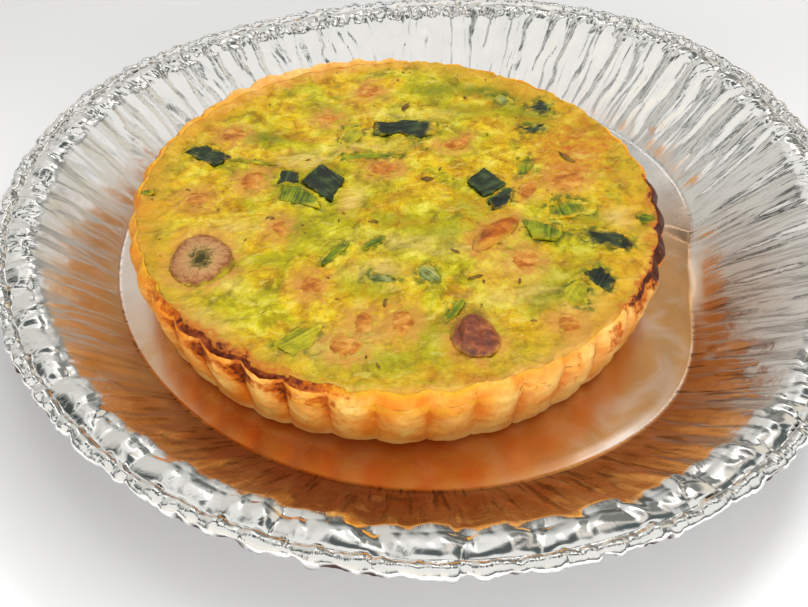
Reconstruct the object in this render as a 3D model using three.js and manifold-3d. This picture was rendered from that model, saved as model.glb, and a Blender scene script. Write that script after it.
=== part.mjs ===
// A round leek and ham quiche in the light foil pan that it is baked and sold in.
//
// Millimetres, +Z up. The origin is the centre of the pan's underside, which
// stands on the table. +Y is the far side of the pan, +X the right-hand side.
// The quiche stands a little to the left of and in front of the pan's centre.

import * as THREE from 'three';
import Module from 'manifold-3d';
import { mergeVertices } from 'three/addons/utils/BufferGeometryUtils.js';

const wasm = await Module();
wasm.setup();

// ---- Driving dimensions -----------------------------------------------------

const gap = 0.3; // clearance between pieces that lie against each other

// The foil pan.
const foil = 0.8; // wall of the solid; the real sheet is thinner
const panDiameter = 244;
const baseDiameter = 183;
const ledgeInnerDiameter = 223.6;
const ledgeHeight = 21.8;
const beadWidth = 4; // the rolled outer edge
const beadRise = 1.7; // how far the bead stands over the ledge
const pleatCount = 72; // folds pressed into the ledge and the wall
const ledgePleat = 0.8; // half the height of a fold
const wallPleat = 0.55;

// The light pan is bent: slow waves lift the rim and push it outwards.
const rimWaves = [
  { count: 1, lift: 3.2, liftAt: -33, push: 0.6, pushAt: 30 },
  { count: 2, lift: 2.1, liftAt: 34, push: 1.3, pushAt: 98 },
  { count: 3, lift: 1.5, liftAt: 41, push: 0.8, pushAt: 36 },
];

// A dent pushes the foot of the wall inwards on the right-hand side.
const dent = { depth: 10.6, at: -12, spread: 22 };

// The quiche.
const quicheCentre = { x: -7.6, y: -6.9 };
const crustDiameter = 152.8;
const crustFootDiameter = 144.8;
const crustHeight = 22.4; // from the pan's floor to the top of the rim
const crustFloor = 3.5;
const crustWall = 3.4; // between two grooves
const crustEdgeRound = 1.2; // the rim's outer edge and the foot are rounded
const crustBelly = 0.4; // the wall bulges a little at half its height
const crustChips = 0.5; // the rim is uneven by up to this much
const fluteCount = 40;
const firstGroove = 231.9; // degrees from +X, about the quiche's centre
const fluteDepth = 2.6;
const footFluteDepth = 2.1;
const innerFluteDepth = 0.9;
const fluteShoulder = 0.8; // how full a flute is halfway from its groove to its crown
const grooveWander = 0.8; // degrees that a groove strays to either side
const fillingDrop = 0.8; // from the crust's rim down to the filling
const fillingSwell = 0.25; // height of the low swells in the filling's upper face
const fillingRings = [
  { radius: 17, count: 20 },
  { radius: 34, count: 40 },
  { radius: 50, count: 40 },
  { radius: 62, count: 80 },
];

// The crust is thicker and a little higher along its far left edge.
const thickCrust = { extra: 2.4, rise: 0.5, at: 118, spread: 34 };

// Toppings: the corners of each piece seen from above, from the quiche's centre.
const leafRise = 0.7; // a leek leaf's upper face over the filling
const leafThickness = 1.1;
const leafWave = 0.25;

const leekLeaves = [
  { shade: 'dark', corners: [[-35, 1.4], [-34.4, 7.4], [-29.6, 6.9], [-28.9, 2]] },
  { shade: 'dark', corners: [[-28, 2.4], [-23, 11.2], [-15.8, 4.8], [-18.8, -6], [-23, -2.2]] },
  { shade: 'mid', corners: [[-33.2, -5.6], [-33, 0.6], [-29, 0.4], [-23.8, -3.6], [-21.4, -8.6]] },
  { shade: 'dark', corners: [[-8.6, 34.6], [-1, 34.4], [0.2, 35.6], [11, 35.4], [12, 29.6],
    [6.4, 26], [-0.6, 28.8], [-8.2, 28]] },
  { shade: 'dark', corners: [[19.8, 5], [25.2, 12.2], [31, 4.6], [24.6, -2.2]] },
  { shade: 'dark', corners: [[25.4, -3], [31.4, 3.4], [33.4, 2.8], [31.2, -6], [27, -7.6]] },
  { shade: 'dark', corners: [[-64.6, 16], [-59, 20.4], [-50, 14], [-54.6, 9.8]] },
  { shade: 'mid', corners: [[34.8, -12], [45, -12.8], [45.4, -16.8], [42.8, -19.4], [37, -18.6]] },
  { shade: 'dark', corners: [[46.4, -16.2], [55.6, -14.2], [64.6, -18.8], [62.4, -23.8], [52, -21.2]] },
  { shade: 'dark', corners: [[48.8, -32], [53.2, -29.6], [56.4, -35.2], [54.2, -39], [50.8, -36.6]] },
  { shade: 'olive', corners: [[42.2, -39], [47.8, -32.6], [49.6, -37.6], [48.4, -45], [42.6, -44.4]] },
  { shade: 'dark', corners: [[39.6, 47.2], [45.6, 51], [50.4, 47.6], [48, 40.8], [41.6, 41.6]] },
  { shade: 'dark', corners: [[36.6, 35.4], [45.8, 36.8], [47.4, 32.6], [38.6, 29.2]] },
  { shade: 'mid', corners: [[42, -4], [48, 0.4], [56.4, -4.2], [55.8, -8.2], [42.4, -10.4]] },
  { shade: 'mid', corners: [[34.6, 16], [39.4, 19.2], [40, 10.6], [35, 8.6]] },
  { shade: 'mid', corners: [[29.4, 51.6], [33.8, 54.2], [38.2, 48.6], [33.2, 46]] },
  { shade: 'mid', corners: [[-18, 13.8], [-17.2, 18.4], [-10, 18.8], [1.6, 17.6], [-0.4, 16.4], [-10, 16.2]] },
  { shade: 'olive', corners: [[-28.2, -59.2], [-21.6, -52], [-17.2, -52.6], [-19, -58.8], [-23, -62.6]] },
  { shade: 'olive', corners: [[-8.4, -37], [-6, -33.2], [1.8, -37.2], [-1.8, -38.8]] },
  { shade: 'mid', corners: [[5, -32.2], [8.8, -29.8], [12.2, -37.4], [6.8, -37.4]] },
  { shade: 'olive', corners: [[-19.2, 24.6], [-17.8, 32.2], [-11.8, 33.2], [-11.4, 28], [-16.6, 22]] },
];

const meatSink = 2.5; // how deep a piece of meat sits in the filling
const meatShoulder = 0.8; // a piece is domed: its shoulder's share of its width and of its rise
const meatLip = 0.15; // the share of its rise at its outline
const pocketRoom = 0.4; // extra depth under a topping
const pocketTop = 2; // how far a pocket's cutting shape stands over the filling

const meats = [
  { name: 'mushroom_slice', shade: 'brown', rise: 1.1, corners: [[-59, -32], [-57, -23], [-51.4, -20.2],
    [-45, -24], [-41.2, -30.6], [-43.6, -38], [-50.2, -41.2], [-56.6, -37.8]] },
  { name: 'sausage_chunk', shade: 'brown', rise: 2.6, corners: [[13, -56.4], [15.4, -51], [19.8, -48],
    [23.8, -51], [26.4, -56], [24, -60.6], [17.6, -61.4]] },
  { name: 'ham_strip', rise: 1.9, corners: [[19.8, -25], [21.6, -18], [28, -11.6], [33.8, -9.2],
    [33, -14], [29, -20], [23, -24.4]] },
  { rise: 0.9, corners: [[28.6, -28.6], [32.6, -22], [37, -22.8], [38.4, -28.4], [33.6, -32.2]] },
  { rise: 1, corners: [[-11, -50.4], [-6.6, -46.2], [-4.4, -51.8], [-6, -55.4], [-8.8, -54.4]] },
  { rise: 1.1, corners: [[-2.4, -53.4], [0.8, -45.4], [6.2, -49.8], [3.4, -56.6]] },
  { rise: 0.7, corners: [[-16, -60.6], [-14.6, -54.6], [-8.4, -56], [-5.6, -58.8], [-9.8, -64]] },
  { rise: 1, corners: [[-16.2, 50], [-13.4, 58.4], [-7, 57.4], [-6, 51], [-12.8, 48.2]] },
  { rise: 0.9, corners: [[-28.2, 36], [-22.8, 39], [-18.4, 35.6], [-23.4, 32.6]] },
  { rise: 1, corners: [[-57.2, 23.8], [-55.6, 29.6], [-50, 31.4], [-46.8, 26.4], [-50.2, 19.8]] },
  { rise: 1, corners: [[-46.6, -0.4], [-46.2, 6], [-40.8, 8], [-38, 3.4], [-40.6, -2]] },
  { rise: 0.9, corners: [[-10.8, 8.6], [-8.2, 14.8], [-1.8, 15], [1, 10], [-4, 6]] },
  { rise: 0.9, corners: [[10, 23.6], [16.8, 25.4], [21.6, 30.6], [21, 24], [15.4, 20.8]] },
  { rise: 0.9, corners: [[-61.2, -8.2], [-60.2, -2.2], [-55, -0.8], [-52.4, -5.8], [-55.4, -10.6]] },
  { rise: 0.9, corners: [[43, 3.6], [45, 12.6], [55.6, 12.8], [56, 6.4], [48, 2.6]] },
  { rise: 0.8, corners: [[34.2, 0.8], [36, 6.4], [40, 6.6], [40.6, 2], [37.4, -1.6]] },
  { rise: 0.8, corners: [[-25, -41], [-23.2, -35.2], [-18.4, -36], [-17.6, -40.8], [-21.2, -42.8]] },
  { rise: 0.7, corners: [[-34.6, -19.2], [-33.6, -12.8], [-30.2, -14.2], [-29.8, -21.2]] },
  { rise: 0.9, corners: [[38.8, -51], [41.2, -46.6], [45.6, -47.2], [45.6, -53.4], [41.8, -54.4]] },
];

// ---- Colours ------------------------------------------------------------------

const finishes = {
  foil: new THREE.MeshStandardMaterial({ color: 0xd9dbdb, roughness: 0.25, metalness: 1 }),
  pastry: new THREE.MeshStandardMaterial({ color: 0xe0a050, roughness: 0.75, metalness: 0 }),
  filling: new THREE.MeshStandardMaterial({ color: 0xdcc42c, roughness: 0.5, metalness: 0 }),
  dark: new THREE.MeshStandardMaterial({ color: 0x2c4032, roughness: 0.45, metalness: 0 }),
  mid: new THREE.MeshStandardMaterial({ color: 0x6c8f1c, roughness: 0.45, metalness: 0 }),
  olive: new THREE.MeshStandardMaterial({ color: 0x9a9a18, roughness: 0.45, metalness: 0 }),
  pale: new THREE.MeshStandardMaterial({ color: 0xd09a5c, roughness: 0.55, metalness: 0 }),
  brown: new THREE.MeshStandardMaterial({ color: 0x9c5c3a, roughness: 0.5, metalness: 0 }),
};

// ---- Small tools ----------------------------------------------------------------

const radians = (degrees) => degrees * Math.PI / 180;

// A repeatable draw of numbers between 0 and 1.
function makeDraw(seed) {
  let state = seed;
  return () => {
    state = (state * 16807) % 2147483647;
    return state / 2147483647;
  };
}

// A smooth hump: 1 at its centre, near 0 beyond twice its spread. All in degrees.
function hump(degrees, { at, spread }) {
  const away = ((degrees - at + 540) % 360) - 180;
  return Math.exp(-((away / spread) ** 2));
}

// Skins a row of rings, each a list of points round the same way. The first and
// the last ring are single points, which close the ends. Neighbouring rings may
// have different numbers of points.
function solidFromRings(rings) {
  const faces = [];
  let start = 0;
  for (let k = 0; k + 1 < rings.length; k += 1) {
    const here = rings[k].length;
    const next = rings[k + 1].length;
    const nextStart = start + here;
    const hereSteps = here > 1 ? here : 0;
    const nextSteps = next > 1 ? next : 0;
    let i = 0;
    let j = 0;
    while (i < hereSteps || j < nextSteps) {
      const a = start + (i % here);
      const b = nextStart + (j % next);
      const stepHere = j === nextSteps || (i < hereSteps && (i + 1) / hereSteps <= (j + 1) / nextSteps);
      if (stepHere) {
        i += 1;
        faces.push(a, b, start + (i % here));
      } else {
        j += 1;
        faces.push(a, b, nextStart + (j % next));
      }
    }
    start = nextStart;
  }
  const geometry = new THREE.BufferGeometry();
  geometry.setAttribute('position', new THREE.Float32BufferAttribute(rings.flat(2), 3));
  geometry.setIndex(faces);
  return geometry;
}

function toManifold(geometry) {
  const bare = mergeVertices(geometry, 1e-4);
  return new wasm.Manifold(new wasm.Mesh({
    numProp: 3,
    vertProperties: Float32Array.from(bare.attributes.position.array),
    triVerts: Uint32Array.from(bare.index.array),
  }));
}

function toGeometry(manifold) {
  const mesh = manifold.getMesh();
  const geometry = new THREE.BufferGeometry();
  geometry.setAttribute('position', new THREE.BufferAttribute(mesh.vertProperties, 3));
  geometry.setIndex(new THREE.BufferAttribute(mesh.triVerts, 1));
  return geometry;
}

function addPiece(group, name, geometry, finish) {
  geometry.computeVertexNormals();
  const piece = new THREE.Mesh(geometry, finish);
  piece.name = name;
  group.add(piece);
}

// ---- The foil pan ---------------------------------------------------------------

// One stop of the pan's section: rim is its share of the rim's waves, foot its
// share of the dent, out and up how a fold moves it.
function panStop(radius, height, { rim = 1, foot = 0, out = 0, up = 0 } = {}) {
  return { radius, height, rim, foot, out, up };
}

function panSection() {
  const baseRadius = baseDiameter / 2;
  const ledgeRadius = ledgeInnerDiameter / 2;
  const rimRadius = panDiameter / 2;
  const wallAngle = Math.atan2(ledgeHeight - foil, ledgeRadius - baseRadius);
  const mitre = foil * Math.tan(wallAngle / 2);
  const wallOut = foil * Math.sin(wallAngle);
  const wallDown = foil * Math.cos(wallAngle);
  const middleRadius = (baseRadius + ledgeRadius) / 2;
  const middleHeight = (foil + ledgeHeight) / 2;
  const beadFoot = rimRadius - beadWidth;
  const beadMiddle = rimRadius - beadWidth / 2;
  const ledgeMiddle = (ledgeRadius + beadFoot) / 2;
  const onWall = { rim: 0.45, foot: 0.5, out: -wallPleat, up: wallPleat };
  const onLedgeEdge = { out: -wallPleat / 2, up: ledgePleat / 2 };
  const onLedge = { up: ledgePleat };
  const onBead = { up: ledgePleat / 3 };
  return [
    panStop(baseRadius, foil, { rim: 0, foot: 1 }),
    panStop(middleRadius, middleHeight, onWall),
    panStop(ledgeRadius, ledgeHeight, onLedgeEdge),
    panStop(ledgeMiddle, ledgeHeight, onLedge),
    panStop(beadFoot, ledgeHeight, onBead),
    panStop(beadMiddle, ledgeHeight + beadRise, onBead),
    panStop(rimRadius, ledgeHeight, onBead),
    panStop(beadMiddle, ledgeHeight - beadRise, onBead),
    panStop(beadFoot, ledgeHeight - foil, onBead),
    panStop(ledgeMiddle, ledgeHeight - foil, onLedge),
    panStop(ledgeRadius + mitre, ledgeHeight - foil, onLedgeEdge),
    panStop(middleRadius + wallOut, middleHeight - wallDown, onWall),
    panStop(baseRadius + mitre, 0, { rim: 0, foot: 1 }),
  ];
}

function makeFoilPan() {
  const draw = makeDraw(71);
  const stations = Array.from({ length: 2 * pleatCount }, (_, i) => ({
    degrees: (i * 180) / pleatCount,
    pleat: (i % 2 ? 1 : -1) * (0.4 + 0.6 * draw()),
  }));
  const ring = (stop) => stations.map(({ degrees, pleat }) => {
    let lift = 0;
    let push = 0;
    for (const wave of rimWaves) {
      lift += wave.lift * Math.cos(radians(wave.count * (degrees - wave.liftAt)));
      push += wave.push * Math.cos(radians(wave.count * (degrees - wave.pushAt)));
    }
    const pushedIn = stop.foot * dent.depth * hump(degrees, dent);
    const radius = stop.radius + stop.rim * push - pushedIn + stop.out * pleat;
    const height = stop.height + stop.rim * lift + stop.up * pleat;
    return [radius * Math.cos(radians(degrees)), radius * Math.sin(radians(degrees)), height];
  });
  const rings = panSection().map(ring);
  return solidFromRings([[[0, 0, foil]], ...rings, [[0, 0, 0]]]);
}

// ---- The pastry case and the filling --------------------------------------------

const crustFoot = foil + gap;
const crustTop = foil + crustHeight;
const floorTop = crustFoot + crustFloor;

// Four stations to a flute: its groove, its shoulder, its crown and its shoulder.
function fluteStations() {
  const draw = makeDraw(19);
  const stations = [];
  for (let flute = 0; flute < fluteCount; flute += 1) {
    const depth = 0.8 + 0.4 * draw();
    const shift = grooveWander * (2 * draw() - 1);
    [0, fluteShoulder, 1, fluteShoulder].forEach((crown, quarter) => {
      const degrees = firstGroove + ((flute + quarter / 4) * 360) / fluteCount;
      stations.push({
        degrees: degrees + (quarter ? 0 : shift),
        sunk: (1 - crown) * depth,
        chip: crustChips * draw(),
        thick: hump(degrees, thickCrust),
      });
    });
  }
  return stations;
}

function ringOf(stations, radiusAndHeight) {
  return stations.map((station) => {
    const [radius, height] = radiusAndHeight(station);
    const turn = radians(station.degrees);
    return [radius * Math.cos(turn), radius * Math.sin(turn), height];
  });
}

const stations = fluteStations();
const topRadius = crustDiameter / 2;
const footRadius = crustFootDiameter / 2;
const innerTopRadius = ({ sunk, thick }) => topRadius - crustWall - innerFluteDepth * sunk
  - thickCrust.extra * thick;
const innerFootRadius = ({ sunk }) => footRadius - crustWall - innerFluteDepth * sunk;

function makePastryCase() {
  const rimTop = ({ chip, thick }) => crustTop - chip + thickCrust.rise * thick;
  const outerTop = ({ sunk }) => topRadius - fluteDepth * sunk;
  const ridge = (s) => (innerTopRadius(s) + outerTop(s)) / 2;
  const outerMiddle = ({ sunk }) => (topRadius + footRadius) / 2 + crustBelly - fluteDepth * sunk;
  const outerFoot = ({ sunk }) => footRadius - footFluteDepth * sunk;
  return solidFromRings([
    [[0, 0, floorTop]],
    ringOf(stations, (s) => [innerFootRadius(s), floorTop]),
    ringOf(stations, (s) => [innerTopRadius(s), rimTop(s) - crustEdgeRound / 4]),
    ringOf(stations, (s) => [ridge(s), rimTop(s)]),
    ringOf(stations, (s) => [outerTop(s), rimTop(s) - crustEdgeRound]),
    ringOf(stations, (s) => [outerMiddle(s), (crustFoot + crustTop) / 2]),
    ringOf(stations, (s) => [outerFoot(s), crustFoot + crustEdgeRound]),
    ringOf(stations, (s) => [outerFoot(s) - crustEdgeRound, crustFoot]),
    [[0, 0, crustFoot]],
  ]);
}

// The baked filling's upper face: level, with low uneven swells.
function fillingHeight(x, y) {
  const across = Math.sin(x / 7 + 1.3 * Math.sin(y / 11));
  const along = Math.sin(y / 6 + x / 17 + 2);
  return crustTop - fillingDrop + fillingSwell * (across + 0.8 * along);
}

function makeFillingBlank() {
  const onTop = (x, y) => [x, y, fillingHeight(x, y)];
  const topRing = ({ radius, count }) => Array.from({ length: count }, (_, i) => {
    const turn = radians(firstGroove + (i * 360) / count);
    return onTop(radius * Math.cos(turn), radius * Math.sin(turn));
  });
  const edge = ringOf(stations, (s) => [innerTopRadius(s) - 2 * gap, 0]).map(([x, y]) => onTop(x, y));
  return solidFromRings([
    [onTop(0, 0)],
    ...fillingRings.map(topRing),
    edge,
    ringOf(stations, (s) => [innerFootRadius(s) - 2 * gap, floorTop + gap]),
    [[0, 0, floorTop + gap]],
  ]);
}

// ---- Toppings -------------------------------------------------------------------

function towardsCentre(outline, share) {
  const cx = outline.reduce((sum, [x]) => sum + x, 0) / outline.length;
  const cy = outline.reduce((sum, [, y]) => sum + y, 0) / outline.length;
  return outline.map(([x, y]) => [cx + (x - cx) * share, cy + (y - cy) * share]);
}

// The corners turned anticlockwise, with a point at the middle of each edge.
function edgedOutline(corners) {
  const round = [...corners].reverse();
  return round.flatMap(([x, y], i) => {
    const [nextX, nextY] = round[(i + 1) % round.length];
    return [[x, y], [(x + nextX) / 2, (y + nextY) / 2]];
  });
}

// The same corners cut off once, for a piece with soft edges.
function softOutline(corners) {
  const round = [...corners].reverse();
  return round.flatMap(([x, y], i) => {
    const [nextX, nextY] = round[(i + 1) % round.length];
    return [[0.75 * x + 0.25 * nextX, 0.75 * y + 0.25 * nextY],
      [0.25 * x + 0.75 * nextX, 0.25 * y + 0.75 * nextY]];
  });
}

// Moves every point of an anticlockwise outline outwards by the same distance.
function grown(outline, distance) {
  const count = outline.length;
  const normal = (from, to) => {
    const length = Math.hypot(to[0] - from[0], to[1] - from[1]);
    return [(to[1] - from[1]) / length, (from[0] - to[0]) / length];
  };
  return outline.map((point, i) => {
    const [ax, ay] = normal(outline[(i + count - 1) % count], point);
    const [bx, by] = normal(point, outline[(i + 1) % count]);
    const reach = distance / (1 + ax * bx + ay * by);
    return [point[0] + (ax + bx) * reach, point[1] + (ay + by) * reach];
  });
}

const atHeight = (outline, heightAt) => outline.map(([x, y]) => [x, y, heightAt(x, y)]);

// A thin wavy leaf; both faces carry the same triangles.
function makeLeaf({ corners }) {
  const outline = edgedOutline(corners);
  const inner = towardsCentre(outline, 0.5);
  const centre = towardsCentre(outline, 0).slice(0, 1);
  const wave = (x, y) => leafWave * Math.sin(1.1 * x - 0.8 * y);
  const upper = (x, y) => fillingHeight(x, y) + leafRise + wave(x, y);
  const lower = (x, y) => upper(x, y) - leafThickness;
  return solidFromRings([
    atHeight(centre, upper),
    atHeight(inner, upper),
    atHeight(outline, upper),
    atHeight(outline, lower),
    atHeight(inner, lower),
    atHeight(centre, lower),
  ]);
}

// A soft-edged piece of meat, domed above the filling and sunk into it.
function makeMeat({ corners, rise }) {
  const outline = softOutline(corners);
  const shoulder = towardsCentre(outline, meatShoulder);
  const centre = towardsCentre(outline, 0).slice(0, 1);
  const sunk = (x, y) => fillingHeight(x, y) - meatSink;
  return solidFromRings([
    atHeight(centre, (x, y) => fillingHeight(x, y) + rise),
    atHeight(shoulder, (x, y) => fillingHeight(x, y) + meatShoulder * rise),
    atHeight(outline, (x, y) => fillingHeight(x, y) + meatLip * rise),
    atHeight(shoulder, sunk),
    atHeight(centre, sunk),
  ]);
}

// The room in the filling that a topping lies in, a gap wider than it all round.
function makePocket(outline, depth) {
  const wide = grown(outline, gap);
  const centre = towardsCentre(outline, 0).slice(0, 1);
  const heights = wide.map(([x, y]) => fillingHeight(x, y));
  const floor = Math.min(...heights) - depth;
  const ceiling = Math.max(...heights) + pocketTop;
  return solidFromRings([
    atHeight(centre, () => ceiling),
    atHeight(wide, () => ceiling),
    atHeight(wide, () => floor),
    atHeight(centre, () => floor),
  ]);
}

// ---- Assembly ---------------------------------------------------------------------

const twoDigits = (number) => String(number).padStart(2, '0');
const model = new THREE.Group();
addPiece(model, 'foil_tray', makeFoilPan(), finishes.foil);

const quiche = new THREE.Group();
quiche.position.set(quicheCentre.x, quicheCentre.y, 0);
model.add(quiche);
addPiece(quiche, 'pastry_case', makePastryCase(), finishes.pastry);

const leafPocketDepth = leafThickness - leafRise + leafWave + pocketRoom + gap;
const meatPocketDepth = meatSink + pocketRoom + gap;
let filling = toManifold(makeFillingBlank());
for (const leaf of leekLeaves) {
  filling = filling.subtract(toManifold(makePocket(edgedOutline(leaf.corners), leafPocketDepth)));
}
for (const meat of meats) {
  filling = filling.subtract(toManifold(makePocket(softOutline(meat.corners), meatPocketDepth)));
}
addPiece(quiche, 'filling', toGeometry(filling), finishes.filling);

const namedMeats = meats.filter((meat) => meat.name).length;
leekLeaves.forEach((leaf, i) => {
  addPiece(quiche, `leek_leaf_${twoDigits(i + 1)}`, makeLeaf(leaf), finishes[leaf.shade]);
});
meats.forEach((meat, i) => {
  const name = meat.name ?? `ham_piece_${twoDigits(i - namedMeats + 1)}`;
  addPiece(quiche, name, makeMeat(meat), finishes[meat.shade ?? 'pale']);
});

export default model;
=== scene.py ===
# A leek and ham quiche in its light foil pan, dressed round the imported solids.
# Lengths are millimetres here and metres in the scene. Places on the quiche are
# measured from its own centre; angles are degrees from +X, anticlockwise.

import itertools
import math

import bpy
import numpy as np
from mathutils import Matrix


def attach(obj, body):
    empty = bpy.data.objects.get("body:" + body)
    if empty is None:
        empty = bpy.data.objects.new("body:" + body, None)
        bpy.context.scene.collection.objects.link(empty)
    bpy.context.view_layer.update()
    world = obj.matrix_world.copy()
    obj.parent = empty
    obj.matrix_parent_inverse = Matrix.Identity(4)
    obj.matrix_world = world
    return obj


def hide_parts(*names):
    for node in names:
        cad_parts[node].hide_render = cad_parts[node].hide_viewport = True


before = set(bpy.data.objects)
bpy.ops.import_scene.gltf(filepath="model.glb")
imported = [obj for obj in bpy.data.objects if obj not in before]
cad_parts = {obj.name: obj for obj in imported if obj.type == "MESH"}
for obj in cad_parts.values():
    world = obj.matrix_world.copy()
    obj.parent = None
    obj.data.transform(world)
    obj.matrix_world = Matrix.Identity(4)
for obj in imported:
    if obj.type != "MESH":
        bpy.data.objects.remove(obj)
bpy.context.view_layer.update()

MM = 0.001

# ---- The pan's driving sizes ----

FOIL = 0.8
PAN_RADIUS = 122
BASE_RADIUS = 91.5
LEDGE_RADIUS = 111.8
LEDGE_HEIGHT = 21.8
BEAD_WIDTH = 4
BEAD_RISE = 1.7
RIM_WAVES = (  # count round the rim, lift, where it lifts, push outwards, where it pushes
    (1, 3.2, -33, 0.6, 30),
    (2, 2.1, 34, 1.3, 98),
    (3, 1.5, 41, 0.8, 36),
)
DENT_DEPTH = 10.6
DENT_AT = -12
DENT_SPREAD = 22

# ---- The quiche's driving sizes ----

QUICHE_CENTRE = np.array([-7.6, -6.9])
CRUST_TOP = 23.2
CRUST_FOOT = 1.1
CRUST_TOP_RADIUS = 76.4
CRUST_FOOT_RADIUS = 72.4
FILLING_DROP = 0.8
FILLING_SWELL = 0.25
CASE_FLOOR = 4.6
LEAF_THICKNESS = 0.95
MEAT_SINK = 2.5

# ---- Small tools ----


def smoothstep(low, high, value):
    share = np.clip((value - low) / (high - low), 0, 1)
    return share * share * (3 - 2 * share)


def bell(away, spread):
    """1 at no distance, near 0 beyond twice the spread."""
    return np.exp(-((away / spread) ** 2))


def signed(degrees):
    """The same angles, from -180 to 180."""
    return (degrees + 180) % 360 - 180


def hump(degrees, at, spread):
    """1 at an angle, near 0 beyond twice the spread."""
    return bell(signed(degrees - at), spread)


def cos_sin(degrees):
    """Cosine and sine of an angle in degrees."""
    return math.cos(math.radians(degrees)), math.sin(math.radians(degrees))


def scramble(cells, seed):
    """A repeatable value from 0 to 1 for each whole-number cell."""
    mixed = (cells @ np.array([73856093, 19349663, 83492791]) + seed * 26699) & 0xFFFFFFFF
    for _ in range(2):
        mixed = ((mixed ^ (mixed >> 16)) * 73244475) & 0xFFFFFFFF
    return (mixed ^ (mixed >> 16)) / 0xFFFFFFFF


def noise(points, seed):
    """Smooth noise, about -1 to 1, whose bumps are one unit across."""
    cells = np.floor(points).astype(np.int64)
    inside = points - cells
    fade = inside ** 3 * (inside * (inside * 6 - 15) + 10)
    total = np.zeros(len(points))
    for corner in itertools.product((0, 1), repeat=3):
        offset = np.array(corner)
        slope = np.stack([scramble(cells + offset, 3 * seed + axis) for axis in range(3)], 1) * 2 - 1
        weight = np.prod(np.where(offset == 1, fade, 1 - fade), 1)
        total += weight * np.sum(slope * (inside - offset), 1)
    return total * 1.5


def layered(points, size, octaves, seed):
    """Noise with bumps of `size` mm and finer, lower ones on them."""
    total = np.zeros(len(points))
    for octave in range(octaves):
        total += 0.5 ** octave * noise(points * (2 ** octave / size) + 17.3 * octave, seed + octave)
    return total


def ridged(points, size, octaves, seed):
    """Noise with sharp crests, 0 to 1."""
    return 1 - np.abs(np.clip(layered(points, size, octaves, seed) * 1.6, -1, 1))


def flat_points(x, y, z=0.0):
    return np.stack([np.ravel(x), np.ravel(y), np.broadcast_to(z, np.shape(x)).ravel()], 1)


def node_points(name):
    """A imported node's points, in millimetres."""
    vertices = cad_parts[name].data.vertices
    flat = np.zeros(len(vertices) * 3)
    vertices.foreach_get("co", flat)
    return flat.reshape(-1, 3) / MM


def grid_faces(rows, columns, first=0):
    """Quads of a closed band, rows by columns, and the fans to a point before and after it."""
    row, column = np.meshgrid(np.arange(rows - 1), np.arange(columns), indexing="ij")
    here = first + 1 + row * columns + column
    after = first + 1 + row * columns + (column + 1) % columns
    quads = np.stack([here, here + columns, after + columns, after], -1).reshape(-1, 4)
    ring = np.arange(columns)
    head = np.stack([np.full(columns, first), first + 1 + ring, first + 1 + (ring + 1) % columns], 1)
    last_row = first + 1 + (rows - 1) * columns
    tail_point = np.full(columns, first + 1 + rows * columns)
    tail = np.stack([tail_point, last_row + (ring + 1) % columns, last_row + ring], 1)
    return quads.tolist() + head.tolist() + tail.tolist()


def add_mesh(name, points, faces, material, masks=None):
    """A smooth mesh in the scene; masks are named values, one for each point."""
    mesh = bpy.data.meshes.new(name)
    mesh.from_pydata((np.asarray(points) * MM).tolist(), [], faces)
    mesh.shade_smooth()
    for mask, values in (masks or {}).items():
        layer = mesh.attributes.new(mask, "FLOAT", "POINT")
        layer.data.foreach_set("value", np.asarray(values, dtype=np.float32))
    mesh.materials.append(material)
    piece = bpy.data.objects.new(name, mesh)
    bpy.context.scene.collection.objects.link(piece)
    return piece


def join_skins(name, parts, material):
    """One mesh of closed skins; each has rows of points (rows, columns, 3), two end points and masks."""
    points, faces, masks, first = [], [], {}, 0
    for rows, start, end, values in parts:
        count, columns = rows.shape[:2]
        points.append(np.concatenate([[start], rows.reshape(-1, 3), [end]]))
        faces += grid_faces(count, columns, first)
        for mask, value in values.items():
            flat = np.broadcast_to(value, (count, columns)).ravel()
            masks.setdefault(mask, []).append(np.concatenate([flat[:1], flat, flat[-1:]]))
        first += count * columns + 2
    full = {mask: np.concatenate(values) for mask, values in masks.items()}
    return add_mesh(name, np.concatenate(points), faces, material, full)


def skin(name, rows, start, end, material, masks):
    """A mesh of a single closed skin."""
    return join_skins(name, [(rows, start, end, masks)], material)


def dress(piece, slot, *nodes):
    """The piece belongs to the part and stands for nodes, which are hidden; slot is not used."""
    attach(piece, "root")
    if nodes:
        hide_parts(*nodes)


# ---- Materials ----

LIGHT_REACH = 0.0015  # metres that light goes into pastry, egg and meat


def linear(red, green, blue):
    """A colour as seen on a screen, 0 to 255, as scene-linear RGBA."""
    def channel(value):
        share = value / 255
        return share / 12.92 if share <= 0.04045 else ((share + 0.055) / 1.055) ** 2.4
    return (channel(red), channel(green), channel(blue), 1)


def bright(red, green, blue):
    """A colour of light, which may go over 1, as RGBA."""
    return (red, green, blue, 1)


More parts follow.
